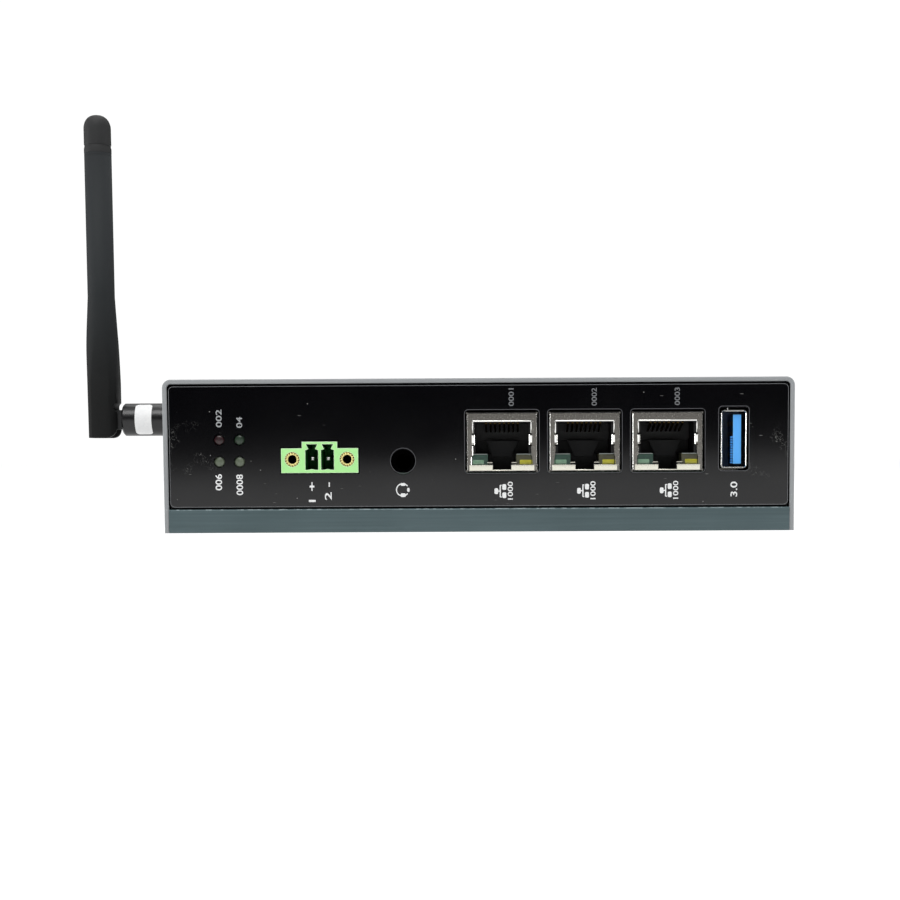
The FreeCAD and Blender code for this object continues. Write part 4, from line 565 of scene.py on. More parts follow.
# %% Knurled inserts
def knurled_insert(shape, middle, face, back, outer, bore):
    """Build one insert about a level line through a middle, from its front face to its back."""
    root = outer - 0.2 * MM
    lip = 0.09 * MM
    outline = [(bore, back), (bore, face + lip), (bore + lip, face), (root - lip, face), (root, face + lip),
               (root, (face + back) / 2), (root, back - lip), (root - lip, back), (bore, back)]
    before = set(shape.faces)
    turn_outline(shape, outline, middle, False, 36)

    def spoke(made):
        """The way from the axis out to a face."""
        centre = made.calc_center_median()
        return Vector((centre.x - middle[0], 0, centre.z - middle[2]))

    wall = [f for f in shape.faces if f not in before and abs(f.normal.y) < 0.1 and
            spoke(f).length > root * 0.97]
    wall.sort(key=lambda f: (round(f.calc_center_median().y, 5), math.atan2(spoke(f).z, spoke(f).x)))
    for tooth in bmesh.ops.extrude_discrete_faces(shape, faces=wall[::2])["faces"]:
        bmesh.ops.translate(shape, verts=tooth.verts, vec=spoke(tooth).normalized() * (outer - root))


insert_low, insert_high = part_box("power_inserts")
insert_radius = (insert_high.z - insert_low.z) / 2
insert_up = (insert_low.z + insert_high.z) / 2
insert_middles = [(across, insert_low.y, insert_up) for across in (insert_low.x + insert_radius,
                                                                   insert_high.x - insert_radius)]
inserts = bmesh.new()
for middle in insert_middles:
    knurled_insert(inserts, middle, insert_low.y, insert_high.y, insert_radius, 1.0 * MM)
# Fresh brass, partly with a painted highlight: paler than the handled kind, so that the faces read as bright
# rings.
brass_painted_highlight = plated_metal("turned_brass_painted_highlight", "F2E294", "FFF6B4", 0.5, 0.42, 0.58)
insert_piece = seat_piece("knurled_inserts", inserts, brass_painted_highlight, "case", "power_inserts")

# %% [markdown]
# ## Softened edges
# No real edge is perfectly sharp: sheet is rolled over, castings are tumbled and moulds are eased.
# The hairline of light along an edge is what tells the eye that a thing is solid. For the pieces
# seen best, a copy of the solid's mesh has its loose triangles joined and its flats merged, and
# then the sharp edges are bevelled. The plain solid steps aside for the copy.

# %% Bevel copies of chosen solids
def softened(name, node_name, cuts, edge_finish=None, shade=None, smooth=True, steps=3):
    """Copy a solid and ease its sharp edges: each cut gives a reach and a rule that chooses edges.

    The new edge faces may take a finish of their own, for a painted highlight, and so may the faces that a
    shade rule picks, for painted shade.
    """
    solid = nodes[node_name]
    shape = bmesh.new()
    shape.from_mesh(solid.data)
    bmesh.ops.remove_doubles(shape, verts=shape.verts, dist=0.002 * MM)
    bmesh.ops.dissolve_limit(shape, angle_limit=math.radians(1), verts=shape.verts, edges=shape.edges)
    for reach, rule in cuts:
        sharp = [e for e in shape.edges if len(e.link_faces) == 2 and
                 e.calc_face_angle(0) > math.radians(30) and rule(e)]
        eased = file_back(shape, sharp, reach, steps)
        for face in eased if edge_finish else ():
            face.material_index = 1
        print(name, "eased", len(sharp), "edges")
    if shade:
        for face in shape.faces:
            if shade[0](face.calc_center_median()):
                face.material_index = 2
    finish = solid.material_slots[0].material
    piece = seat_piece(name, shape, finish, solid["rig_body"], node_name, smooth=smooth)
    for extra in (edge_finish or shade and finish, shade and shade[1]):
        if extra:
            piece.data.materials.append(extra)


def on_front(low):
    """Choose the edges that lie in a box's front plane."""
    return lambda edge: all(abs(v.co.y - low.y) < 0.03 * MM for v in edge.verts)


def on_rim(low, high):
    """Choose front edges that lie on a box's outer outline."""
    front = on_front(low)
    walls = [(axis, wall[axis]) for axis in (0, 2) for wall in (low, high)]
    return lambda edge: front(edge) and any(all(abs(v.co[axis] - place) < 0.05 * MM for v in edge.verts)
                                            for axis, place in walls)


def on_mouth(low, high):
    """Choose the long front edges round the opening, inside the outer outline."""
    front = on_front(low)
    rim = on_rim(low, high)

    def chosen(edge):
        inside = all(low.x + 0.6 * MM < v.co.x < high.x - 0.6 * MM and
                     low.z + 0.8 * MM < v.co.z < high.z - 0.8 * MM for v in edge.verts)
        return front(edge) and inside and edge.calc_length() > 1.5 * MM and not rim(edge)
    return chosen


# Rolled edges of nickel sheet, polished and given a painted highlight far paler than the sheet, so they show
# as lines of light.
nickel_edge_painted_highlight = plated_metal("polished_nickel_painted_highlight", "E2E2DE", "FAFAF6", 4.0, 0.14, 0.2)
shields = {port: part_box(f"lan_{port}_shield") for port in (1, 2, 3)}
for port, box in shields.items():
    softened(f"network_shield_{port}", f"lan_{port}_shield",
             [(0.3 * MM, on_rim(*box)), (0.26 * MM, on_mouth(*box))], nickel_edge_painted_highlight, smooth=False, steps=1)
usb_low, usb_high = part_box("usb_shell")
softened("serial_shell", "usb_shell", [(0.12 * MM, on_front(usb_low))], nickel_edge_painted_highlight, smooth=False,
         steps=1)

# %% [markdown]
# ## Plastic with painted shade inside
# The green terminal and the blue tongue are bright on their front faces, but light dies away fast inside a
# narrow socket. What finds its way out again has crossed the plastic more than once, so a socket is deeper in
# colour as well as darker. The front edges are eased and given a paler finish, which is a painted highlight,
# and the faces deep inside take a deeper, darker finish, which is painted shade. Contacts and the sound
# socket get painted shade too. The base has only the front edges of its strip eased.

# %% The green terminal and the blue tongue, with painted highlights on their edges and painted shade inside
head_low, head_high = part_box("power_header")
pin_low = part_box("power_pins")[0]
tongue_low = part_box("usb_insulator")[0]
base_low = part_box("heatsink_base")[0]
# Painted highlights for the eased edges, and painted shade for the deep colours in the sockets behind them.
green_edge_painted_highlight = moulded_plastic("green_plastic_painted_highlight", "D6FBC8", "ECFFE4", 0.3)
green_socket_painted_shade = moulded_plastic("green_plastic_painted_shade", "0C5A1C", "127828", 0.75)
blue_edge_painted_highlight = moulded_plastic("blue_plastic_painted_highlight", "5CB4F6", "7CC8FF", 0.3)
navy_socket_painted_shade = moulded_plastic("navy_plastic_painted_shade", "0A2C50", "0F3C68", 0.4)
# Painted shade on the gold contacts: a dull brown-yellow, which stays behind the bright mouths.
contact_gold_painted_shade = plated_metal("gold_contacts_painted_shade", "3A2F18", "5E4C28", 0.5, 0.25, 0.4)


def in_socket(point):
    """True for a face deep in one of the terminal's two sockets."""
    return (point.y > head_low.y + 0.3 * MM and abs(point.x - (head_low.x + head_high.x) / 2) < 4.6 * MM and
            head_low.z + 0.3 * MM < point.z < head_high.z - 0.3 * MM)


def behind_lip(point):
    """True for a face of the tongue further in than its front lip."""
    return point.y > tongue_low.y + 0.6 * MM


softened("terminal_housing", "power_header", [(0.2 * MM, on_front(head_low))], green_edge_painted_highlight,
         (in_socket, green_socket_painted_shade), smooth=False, steps=1)
softened("terminal_pins", "power_pins", [(0.31 * MM, on_front(pin_low))], smooth=False)
# Painted highlight on the tongue's front edges, and painted shade on the faces behind its lip.
softened("serial_tongue", "usb_insulator", [(0.1 * MM, on_front(tongue_low))], blue_edge_painted_highlight,
         (behind_lip, navy_socket_painted_shade), smooth=False)
softened("milled_base", "heatsink_base", [(0.16 * MM, on_front(base_low))])
# Painted shadow: the sound socket takes the near-black of gap bottoms.
repaint("audio_jack", painted_shadow_black)
for node_name in ("lan_1_contacts", "lan_2_contacts", "lan_3_contacts", "usb_contacts"):
    repaint(node_name, contact_gold_painted_shade)

# %% [markdown]
# ## Small fittings of the network ports
# Inside each shielded mouth sit two lamp blocks. A block is smoked epoxy with a coloured window in
# its lower outer corner, and its top front edge is cut back to a sloping ledge. Such parts are small
# castings and folds of sheet, so each is a block with eased edges, told in millimetres from a corner
# of the piece that it belongs to. Some lean out at the top, and then they mirror the bright floor.

# %% Blocks with eased edges
def eased_block(shape, base, low_mm, high_mm, reach_mm, lean=0):
    """A block with eased edges between two corners, in millimetres from a base; it may lean by degrees."""
    made = bmesh.ops.create_cube(shape, size=1.0)["verts"]
    bmesh.ops.scale(shape, verts=made, vec=(Vector(high_mm) - Vector(low_mm)) * MM)
    edges = list({edge for v in made for edge in v.link_edges})
    eased = file_back(shape, edges, reach_mm * MM, 3)
    whole = list({v for f in eased for v in f.verts} | {v for v in made if v.is_valid})
    bmesh.ops.rotate(shape, verts=whole, cent=(0, 0, 0), matrix=Matrix.Rotation(math.radians(lean), 3, "X"))
    bmesh.ops.translate(shape, verts=whole, vec=base + (Vector(high_mm) + Vector(low_mm)) / 2 * MM)


def lamp_block(low, high, ledge):
    """The smoked body of a port lamp, with its top front edge cut to a ledge."""
    shape = bmesh.new()
    bmesh.ops.create_cube(shape, size=1.0)
    bmesh.ops.scale(shape, verts=shape.verts, vec=high - low)
    bmesh.ops.translate(shape, verts=shape.verts, vec=(low + high) / 2)
    near = 0.01 * MM
    brow = [e for e in shape.edges if all(v.co.z > high.z - near and v.co.y < low.y + near for v in e.verts)]
    file_back(shape, brow, ledge, 1)
    file_back(shape, [e for e in shape.edges if e.calc_face_angle(0) > math.radians(60)], 0.06 * MM, 2)
    return shape


# The windows keep more light than the smoked blocks. The ledge strip is a paler grey, a painted highlight
# where the sloping ledge catches the light.
lens_green = lamp_epoxy("pale_green_lamp_window", "648C72", "92B498")
lens_yellow = lamp_epoxy("bright_yellow_lamp_window", "A39D18", "CDC83E")
ledge_painted_highlight = moulded_plastic("epoxy_ledge_painted_highlight", "6E7672", "8F9692", 0.4)
# Each side's finishes, and how far its window stays from the block's left and right, in millimetres.
lamp_sides = (("green", "teal_lens", lens_green, 0.08, 0.85),
              ("yellow", "yellow_lens", lens_yellow, 0.75, 0.06))
for port in (1, 2, 3):
    for side, slot_name, window_finish, left, right in lamp_sides:
        node_name = f"lan_{port}_{side}_lamp"
        low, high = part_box(node_name)
        wide, _, tall = (high - low) / MM
        body = seat_piece(f"port_{port}_{side}_lamp_block", lamp_block(low, high, 0.42 * MM),
                          finishes[slot_name], "case", node_name)
        window = bmesh.new()
        eased_block(window, low, (left, -0.12, 0.05), (wide - right, 0.6, 1.15), 0.22)
        seat_piece(f"port_{port}_{side}_lamp_window", window, window_finish, "case")
        ledge = bmesh.new()
        eased_block(ledge, low, (0.1, 0.2, tall - 0.12), (wide - 0.1, 0.9, tall + 0.06), 0.05)
        seat_piece(f"port_{port}_{side}_lamp_ledge", ledge, ledge_painted_highlight, "case")

# %% [markdown]
# ## What lies inside the sockets
# The blue tongue is ribbed like a comb, to part its contacts, and the ribs catch a little light; they are
# given a painted half shade. The inserts' screw holes end in a drilled cone, which is black with painted
# shadow. Round their knurl the brass lies in shade where the teeth part, so a ring of small dots of painted
# shade stands for those gaps.

# %% Ribs of the tongue, and painted shadow and shade in the terminal's screw holes and knurl
rib_left = 55.98
rib_right = 56.5
ribs = bmesh.new()
rib_base = Vector((0, tongue_low.y, tongue_low.z))
for row in range(11):
    foot = 0.8 + 0.56 * row
    eased_block(ribs, rib_base, (rib_left, 0.25, foot), (rib_right, 0.9, foot + 0.4), 0.06)
# Painted half shade: a blue between the bright lip and the navy depth.
seat_piece("serial_tongue_ribs", ribs, moulded_plastic("blue_tongue_ribs_painted_half_shade", "1F6CB8", "3A8CDB", 0.35), "case")
drilled_cone_shadow = bmesh.new()
knurl_shade_dots = bmesh.new()
drill_steps = ((0, 2.4), (0.98, 1.2), (0.98, 2.8), (0, 2.8))
drill_outline = [(radius * MM, insert_low.y + deep * MM) for radius, deep in drill_steps]
dot_count = 14
dot_ring = 1.36
dot_half = 0.12
for middle in insert_middles:
    turn_outline(drilled_cone_shadow, drill_outline, middle, False, 24)
    for step in range(dot_count):
        turn = math.tau * (step + 0.5) / dot_count
        right = dot_ring * math.cos(turn)
        above = dot_ring * math.sin(turn)
        eased_block(knurl_shade_dots, Vector(middle), (right - dot_half, -0.03, above - dot_half),
                    (right + dot_half, 0.1, above + dot_half), 0.04)
# Painted shadow: the drilled cones are near-black.
seat_piece("insert_hole_painted_shadows", drilled_cone_shadow, painted_shadow_black, "case")
# Painted shade: dark gold for brass in the shade of its own teeth.
knurl_gold_painted_shade = plated_metal("dark_gold_painted_shade", "5E4410", "84641C", 0.5, 0.35, 0.5)
seat_piece("insert_knurl_painted_shade", knurl_shade_dots, knurl_gold_painted_shade, "case")

# %% [markdown]
# ## Folded tabs and spring fingers
# The shield's bottom is folded into two tabs, joined by a low bridge, with a small step behind each.
# A spring finger stands at each side of the mouth between two short slits and grips the plug, and
# the lip above is rolled. At the back of the socket the moulding narrows to a wedge. Nearly all of it
# is symmetrical about the middle, so places are told from the mouth's left side and its width.

# %% Tabs, fingers and slits of the shields
# Tinned folds mirror the floor, and the wedge is a matt charcoal that barely shows.
tinned_tab = plated_metal("tinned_folded_tab", "CFCDBF", "DFDDD0", 2.0, 0.2, 0.3)
wedge_black = moulded_plastic("charcoal_socket_wedge", "0B0C0E", "101114", 0.7)
wedge_low = 3.4
wedge_high = 7.0
wedge_pinch = 0.42
lip_low = 8.55
lip_high = 11.12
for port, (low, high) in shields.items():
    wide = (high.x - low.x) / MM
    wedge = bmesh.new()
    eased_block(wedge, low, (4.3, 7.0, wedge_low), (wide - 4.3, 7.6, wedge_high), 0.1)
    for v in wedge.verts:
        drop = (low.z + wedge_high * MM - v.co.z) / ((wedge_high - wedge_low) * MM)
        v.co.x += ((low.x + high.x) / 2 - v.co.x) * wedge_pinch * min(1.0, max(0.0, drop))
    seat_piece(f"port_{port}_back_wedge", wedge, wedge_black, "case")

    tabs = bmesh.new()
    slot_left = 5.86
    slot_right = wide - slot_left
    for left, right in ((0.72, slot_left), (slot_right, wide - 0.78)):
        eased_block(tabs, low, (left, -0.2, 0.3), (right, 0.1, 1.58), 0.05, 8)
    eased_block(tabs, low, (slot_left, -0.16, 0.3), (slot_right, 0.04, 0.5), 0.04, 20)
    for left in (slot_left - 1.15, slot_right + 0.05):
        eased_block(tabs, low, (left, 0.1, 1.98), (left + 1.1, 1.2, 2.2), 0.04)
    seat_piece(f"port_{port}_folded_tabs", tabs, tinned_tab, "case")

    fingers = bmesh.new()
    # The slits are shown as flat black patches of painted shadow.
    slit_shadows = bmesh.new()
    for middle in (1.47, wide - 1.47):
        eased_block(fingers, low, (middle - 0.11, -0.05, lip_low), (middle + 0.11, 0.05, lip_high), 0.03, 6)
    eased_block(fingers, low, (1.5, -0.12, lip_high), (wide - 1.5, 0.02, lip_high + 0.26), 0.04, 14)
    for middle, inner in ((1.5, 1.62), (wide - 1.5, wide - 1.62)):
        eased_block(fingers, low, (middle - 0.24, -0.1, 6.1), (middle + 0.24, 0.06, 8.1), 0.04, 9)
        for up in (5.86, 8.36):
            eased_block(slit_shadows, low, (inner - 0.36, -0.12, up - 0.13), (inner + 0.36, 0.3, up + 0.13), 0.03)
    seat_piece(f"port_{port}_spring_fingers", fingers, nickel_edge_painted_highlight, "case")
    seat_piece(f"port_{port}_finger_slit_shadows", slit_shadows, painted_shadow_black, "case")

# %% [markdown]
# ## The aerial's cap and seam
# The whip is a moulded rubber boot with a nearly round cap. Against white its outline is all that
# counts, so the cap is turned from a smooth curve. Below it a band with a fine groove marks the seam
# where the two halves of the mould met.

# %% Turn the cap and the seam band
low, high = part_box("antenna_cap")
cap_middle = ((low.x + high.x) / 2, (low.y + high.y) / 2, low.z)
cap_radius = (high.x - low.x) / 2
crown = 3.6 * MM
turns = [step * math.pi / 20 for step in range(11)]
cap_outline = [(0.0, low.z), (cap_radius - 0.15 * MM, low.z), (cap_radius, low.z + 0.2 * MM)]
cap_outline += [(cap_radius * math.cos(t) ** 0.8, high.z - crown + crown * math.sin(t)) for t in turns]
cap = bmesh.new()
turn_outline(cap, cap_outline, cap_middle, True, 48)
cap_piece = seat_piece("aerial_cap", cap, finishes["black_antenna"], "whip", "antenna_cap")

# Each pair is millimetres outwards from the cap's radius and downwards from its lower edge.
band_steps = ((-0.8, 0.03), (-0.15, 0.03), (-0.07, 0.5), (0.03, 0.8), (0.03, 2.0), (-0.22, 2.3), (0.03, 2.6),
              (-0.8, 3.1), (-0.8, 0.03))
band = bmesh.new()
turn_outline(band, [(cap_radius + out * MM, low.z - down * MM) for out, down in band_steps], cap_middle,
             True, 48)
seat_piece("aerial_seam_band", band, finishes["black_antenna"], "whip")

# %% [markdown]
# ## The aerial's foot
# The foot of the boot swells to one side only, where the hinge is. The solid swells on both sides,
# so a copy has its far side drawn in to the cap's radius. The measure fades out smoothly further up,
# which leaves no step in the outline.

# %% Draw in the far side of the foot
fade_top = 52 * MM
fade_long = 20 * MM
whip_low, whip_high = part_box("antenna_whip")
whip_x = (whip_low.x + whip_high.x) / 2
draw_in = 1 - cap_radius / ((whip_high.x - whip_low.x) / 2)
boot = bmesh.new()
boot.from_mesh(nodes["antenna_whip"].data)
bmesh.ops.remove_doubles(boot, verts=boot.verts, dist=0.002 * MM)
for v in boot.verts:
    fade = min(1.0, max(0.0, (fade_top - v.co.z) / fade_long))
    fade = fade * fade * (3 - 2 * fade)
    if v.co.x < whip_x:
        v.co.x = whip_x + (v.co.x - whip_x) * (1 - fade * draw_in)
boot_piece = seat_piece("aerial_boot", boot, boot_rubber, "whip", "antenna_whip")
repaint("antenna_sleeve", sleeve_nylon)

# %% [markdown]
# ## The sleeve's label
# A paper label is wrapped round the front half of the black sleeve. It is left blank. A flat strip
# with rounded corners is cut into narrow bands and then bent round the sleeve: each point's
# distance along the strip becomes an angle. Bending a flat shape keeps the corners round, which a
# spun band couldn't do.

# %% Wrap the label
def wrapped_label(shape, left, right, axis_y, axis_z, radius, half_turn):
    """A thin rounded label wound round a level axis, centred on the front."""
    long = radius * half_turn * 2
    bmesh.ops.create_grid(shape, x_segments=1, y_segments=1, size=0.5)
    bmesh.ops.scale(shape, verts=shape.verts, vec=(right - left, long, 1))
    file_back(shape, shape.verts[:], 1.05 * MM, 6, "VERTICES")
    bands = 32
    for band in range(1, bands):
        bmesh.ops.bisect_plane(shape, geom=shape.verts[:] + shape.edges[:] + shape.faces[:], dist=1e-7,
                               plane_co=(0, long * (band / bands - 0.5), 0), plane_no=(0, 1, 0))
    for v in shape.verts:
        turn = v.co.y / radius
        v.co = ((left + right) / 2 + v.co.x, axis_y - radius * math.cos(turn),
                axis_z + radius * math.sin(turn))
    bmesh.ops.recalc_face_normals(shape, faces=shape.faces)


# White coated paper: faint fibre clouding and a dull sheen.
label_paper = mottled("white_label_paper", {"Roughness": 0.5}, ("D9DADB", "F1F1F0"),
                      {"Scale": per_mm(0.6), "Detail": 4.0}, relief={"Strength": 0.2, "Distance": 0.01 * MM})
sleeve_low, sleeve_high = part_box("antenna_sleeve")
sleeve_radius = (sleeve_high.z - sleeve_low.z) / 2
label = bmesh.new()
wrapped_label(label, sleeve_low.x + 3.7 * MM, sleeve_low.x + 8.2 * MM, (sleeve_low.y + sleeve_high.y) / 2,
              (sleeve_low.z + sleeve_high.z) / 2, sleeve_radius + 0.04 * MM, math.radians(64))
seat_piece("sleeve_label", label, label_paper, "case")

# %% [markdown]
# ## Printing on the film
# The film carries small white marks: plain numbers beside the lamps and ports, polarity signs
# under the terminals and simple pictures for sound and network. Ink is a flat layer a few
# hundredths of a millimetre thick. Numbers start as text, become a mesh, and are then scaled and
# set in place, reading upwards as on the real panel.

# %% Ink and numbers
def ink_finish_for_print_and_lines(name, thin, full):
    """Screen-printed ink, also used for painted highlight lines: thin in places, with a dull face."""
    return mottled(name, {"Roughness": 0.5}, (thin, full), {"Scale": per_mm(0.3)})


# Three strengths of white: the white ink, and two greyer copies of it with painted shade for the marks higher
# on the film, the darkest above the ports.
white_ink = ink_finish_for_print_and_lines("white_screen_ink", "D2D4D4", "F6F7F7")
white_ink_half_shade = ink_finish_for_print_and_lines("white_ink_painted_half_shade", "8A8D8F", "A2A5A7")
white_ink_deep_shade = ink_finish_for_print_and_lines("grey_screen_ink", "5F6164", "747679")
film_low, film_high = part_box("front_overlay")
ink_face = film_low.y - 0.03 * MM


def printed_number(name, words, length, tall, across, up, ink):
    """Print a number that reads upwards, centred at a place on the film, all in millimetres."""
    text = bpy.data.curves.new(name, "FONT")
    text.body = words
    # Both are shares of the type's size: a little body, and strokes slightly fattened.
    text.extrude = 0.02
    text.offset = 0.012
    source = place_object(name + "_type", text)
    bpy.context.view_layer.update()
    mesh = bpy.data.meshes.new_from_object(source.evaluated_get(bpy.context.evaluated_depsgraph_get()))
    bpy.data.objects.remove(source)
    xs, ys, _ = zip(*(v.co for v in mesh.vertices))
    mesh.transform(Matrix.Translation((-(min(xs) + max(xs)) / 2, -(min(ys) + max(ys)) / 2, 0)))
    fit = (length * MM / (max(xs) - min(xs)), tall * MM / (max(ys) - min(ys)), MM, 1)
    mesh.transform(Matrix.Diagonal(fit))
    mesh.transform(Matrix.Rotation(math.radians(90), 4, "X") @ Matrix.Rotation(math.radians(90), 4, "Z"))
    mesh.transform(Matrix.Translation((across * MM, ink_face, up * MM)))
    mesh.materials.clear()
    mesh.materials.append(ink)
    piece = place_object(name, mesh)
    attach(piece, "case")


# Each row is a name, the words, their length and height, their place across and up, and the ink.
marks = [("lamp_mark_1", "002", 3.9, 1.3, -57.55, 25.4, white_ink_half_shade),
         ("lamp_mark_2", "04", 2.4, 1.3, -53.02, 24.5, white_ink_half_shade),
         ("lamp_mark_3", "006", 3.6, 1.45, -57.8, 11.3, white_ink),
         ("lamp_mark_4", "0008", 4.6, 1.45, -53.15, 10.7, white_ink),
         ("terminal_mark_1", "1 +", 4.4, 1.5, -37.07, 9.0, white_ink),
         ("terminal_mark_2", "2 -", 3.9, 1.5, -33.5, 9.2, white_ink)]
port_middles = [(low.x + high.x) / 2 / MM for low, high in shields.values()]
for port, middle in zip(shields, port_middles):
    marks += [(f"port_number_{port}", f"000{port}", 3.9, 1.15, middle + 2.1, 29.75, white_ink_deep_shade),
              (f"speed_number_{port}", "1000", 4.0, 1.15, middle + 1.8, 9.1, white_ink)]
marks.append(("serial_number_mark", "3.0", 3.3, 1.5, (usb_low.x + usb_high.x) / 2 / MM, 9.2, white_ink))
for mark in marks:
    printed_number(*mark)
print("numbers printed:", len(marks))

# %% [markdown]
# ## Small pictures
# The network picture is three rounded boxes joined by a line, lying on its side. The sound picture
# is a ring, open to the right, with three pads. Boxes begin as a one-face grid whose corners are
# bevelled round, and the ring is a short line spun through three quarters of a turn.

# %% Pictures in ink
def flat_patch(shape, across, up, wide, tall, corner=0.0, lift=0.0, steps=4):
    """A flat patch for ink and for painted lines, maybe with rounded corners, all in millimetres; lift brings
    it forwards.
    """
    patch = bmesh.ops.create_grid(shape, x_segments=1, y_segments=1, size=0.5)["verts"]
    bmesh.ops.scale(shape, verts=patch, vec=(wide * MM, tall * MM, 1))
    bmesh.ops.rotate(shape, verts=patch, cent=(0, 0, 0), matrix=Matrix.Rotation(math.radians(90), 3, "X"))
    bmesh.ops.translate(shape, verts=patch, vec=(across * MM, ink_face - lift * MM, up * MM))
    if corner:
        file_back(shape, patch, corner * MM, steps, "VERTICES")


def flat_ring(shape, across, up, inner, outer, steps, gap=0.0):
    """A flat ring, all in millimetres, spun from a short line; it may stay open on the right by radians."""
    centre = Vector((across * MM, ink_face, up * MM))
    spoke = Vector((math.cos(gap / 2), 0, math.sin(gap / 2)))
    ends = [shape.verts.new(centre + spoke * radius * MM) for radius in (inner, outer)]
    bmesh.ops.spin(shape, geom=ends + [shape.edges.new(ends)], cent=centre, axis=(0, -1, 0),
                   angle=math.tau - gap, steps=steps, use_merge=not gap)


def face_forwards(shape):
    """Turn every face of a flat shape towards the front."""
    for face in shape.faces:
        face.normal_update()
        if face.normal.y > 0:
            face.normal_flip()


# Three boxes and the branching line between them: place, width and height, corner and lift.
network_parts = ((-0.88, 0, 0.82, 1.3, 0.3), (0.9, 0.91, 0.88, 1.25, 0.28), (0.9, -0.91, 0.88, 1.25, 0.28),
                 (0, 0, 0.26, 2.7), (-0.3, 0, 0.5, 0.26, 0, 0.01), (0.15, 1.3, 0.3, 0.22, 0, 0.01),
                 (0.15, -1.3, 0.3, 0.22, 0, 0.01))
# A pad at each end of the sound picture's ring, and a small one between them.
sound_parts = ((0.1, 1.2, 1.1, 0.62, 0.28, 0.02), (0.1, -1.2, 1.15, 0.8, 0.28, 0.02),
               (1.28, 0, 0.58, 0.9, 0.28, 0.02))
sound_across = -16.95
sound_up = 9.4
pictures = bmesh.new()
for middle in port_middles:
    for right, above, *rest in network_parts:
        flat_patch(pictures, middle - 0.42 + right, 9.0 + above, *rest)
flat_ring(pictures, sound_across, sound_up, 1.24, 1.48, 32, 1.3)
for right, above, *rest in sound_parts:
    flat_patch(pictures, sound_across + right, sound_up + above, *rest)
face_forwards(pictures)
seat_piece("printed_pictures", pictures, white_ink, "case", smooth=False)

# %% [markdown]
# ## Painted highlights on the cut edges, and painted shadow in the gap round the film
# The film is die-cut, and its cut edge shows as a hairline of light round every opening and round the film
# itself; each hairline is a painted highlight. Outside it a narrow gap to the cover lies in shadow, painted
# as a black line. Each line is a rounded sheet, inset by the line's width, with the middle taken away. The
# sound socket's hole is round, so its line is a ring.

# %% Die-cut edge lines, painted as highlights
def cut_line(shape, box, outside, corner, width):
    """A narrow frame round a box, as far outside its left, right, bottom and top as four numbers say."""
    left = box[0].x / MM - outside[0]
    right = box[1].x / MM + outside[1]
    bottom = box[0].z / MM - outside[2]
    top = box[1].z / MM + outside[3]
    before = set(shape.faces)
    flat_patch(shape, (left + right) / 2, (bottom + top) / 2, right - left, top - bottom, corner, steps=5)
    sheet = [f for f in shape.faces if f not in before]
    bmesh.ops.inset_region(shape, faces=sheet, thickness=width * MM, use_boundary=True, use_even_offset=True)
    made = [f for f in shape.faces if f not in before]
    bmesh.ops.delete(shape, geom=[max(made, key=lambda f: f.calc_area())], context="FACES")


# Painted highlights for the lines, made with the ink finish: a mid grey round the film, and a darker one
# round the openings.
outline_painted_highlight = ink_finish_for_print_and_lines("film_outline_painted_highlight", "5C5E61", "8C8E91")
cut_edge_painted_highlight = ink_finish_for_print_and_lines("film_cut_edge_painted_highlight", "46474A", "606165")
film_box = (film_low, film_high)
for line_name, outside, corner, width, finish in (
        ("panel_gap_shadow", (0.2, 0.2, 0.37, 0.21), 1.1, 0.3, painted_shadow_black),
        ("film_outline", (-0.12, -0.12, -0.1, -0.3), 1.0, 0.08, outline_painted_highlight)):
    line = bmesh.new()
    cut_line(line, film_box, outside, corner, width)
    seat_piece(line_name, line, finish, "case", smooth=False)
film_edges = bmesh.new()
for box in shields.values():
    cut_line(film_edges, box, (0.38, 0.42, 0.35, 0.66), 0.9, 0.11)
cut_line(film_edges, (usb_low, usb_high), (0.6, 0.5, 0.05, 0.85), 0.9, 0.11)
flat_ring(film_edges, -16.8, 15.85, 2.76, 2.86, 48)
face_forwards(film_edges)
seat_piece("film_edge_highlight_lines", film_edges, cut_edge_painted_highlight, "case", smooth=False)

# %% [markdown]
# ## The studio
# A pale paper sweep carries the machine, and soft light comes from above. Close to the horizon the
# room is dark, so the glossy film stays deep black above the line where it starts to mirror the
# bright floor. That dark band is what makes gloss read as gloss.

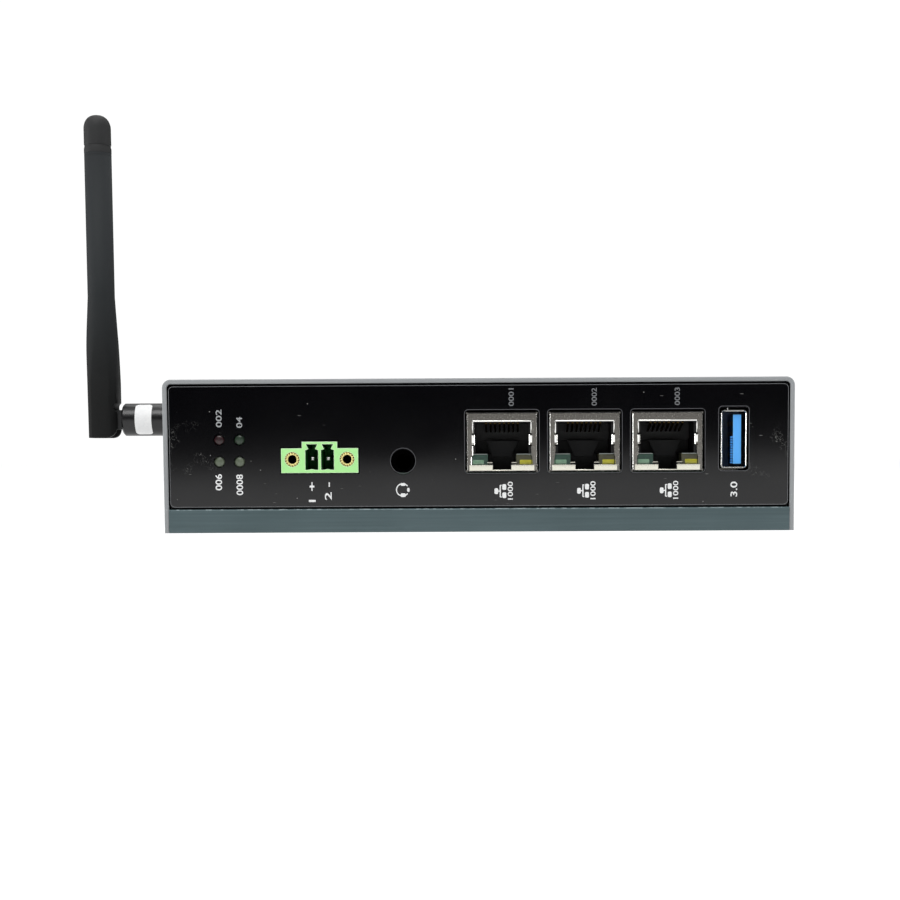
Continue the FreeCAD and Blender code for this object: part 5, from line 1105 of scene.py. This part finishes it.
# %% Floor, sky and lights
# White background paper with a trace of fibre. A little light of its own keeps it white all over.
sweep_paper = mottled("white_sweep_paper", {"Roughness": 0.9, "Emission Color": to_linear("FFFFFF"),
                      "Emission Strength": 0.82}, ("8F8F8F", "969696"), {"Scale": per_mm(3), "Detail": 3.0})
floor_shape = bmesh.new()
bmesh.ops.create_grid(floor_shape, x_segments=4, y_segments=4, size=7.0)
floor_mesh = bpy.data.meshes.new("paper_floor")
floor_shape.to_mesh(floor_mesh)
floor_shape.free()
floor_mesh.materials.append(sweep_paper)
paper_floor = place_object("paper_floor", floor_mesh)


def studio_sky():
    """White behind the machine, a bright dome above it and a dark room at eye level."""
    sky = bpy.data.worlds.new("soft_studio")
    bpy.context.scene.world = sky
    sky.use_nodes = True
    for node in list(sky.node_tree.nodes):
        sky.node_tree.nodes.remove(node)
    place = add_node(sky, "TexCoord")
    axes = add_node(sky, "SeparateXYZ", {}, {"Vector": (place, "Generated")})
    height = add_node(sky, "MapRange", {"interpolation_type": "SMOOTHSTEP", "From Min": 0.15,
                      "From Max": 0.75, "To Min": 0.012, "To Max": 0.9}, {"Value": (axes, "Z")})
    dome = add_node(sky, "Background", {}, {"Strength": height})
    paper = add_node(sky, "Background", {"Color": (1, 1, 1, 1), "Strength": 1.05})
    ray = add_node(sky, "LightPath")
    both = add_node(sky, "MixShader", {}, {0: ray, 1: dome, 2: paper})
    add_node(sky, "OutputWorld", {}, {"Surface": both})


def soft_box(name, spot, aim, size, power):
    """A square soft light at a spot, turned towards a point."""
    light = bpy.data.lights.new(name, "AREA")
    light.shape = "SQUARE"
    light.size = size
    light.energy = power
    lamp = place_object(name, light)
    lamp.location = spot
    lamp.rotation_euler = (Vector(aim) - Vector(spot)).to_track_quat("-Z", "Y").to_euler()


studio_sky()
soft_box("key_box", (-0.15, -0.8, 1.1), (0, 0, 0.02), 0.6, 9.5)
soft_box("top_box", (0.0, 0.3, 1.1), (0, 0, 0), 0.8, 4.0)
soft_box("left_box", (-1.0, -0.05, 0.35), (0, 0, 0.02), 0.4, 1.6)
soft_box("right_box", (1.0, -0.05, 0.4), (0, 0, 0.02), 0.4, 1.2)
soft_box("left_low_box", (-1.05, -0.1, 0.05), (0, -0.04, 0.02), 0.22, 1.4)
soft_box("right_low_box", (1.05, -0.1, 0.05), (0, -0.04, 0.02), 0.22, 1.2)
print("soft lights:", len(bpy.data.lights))
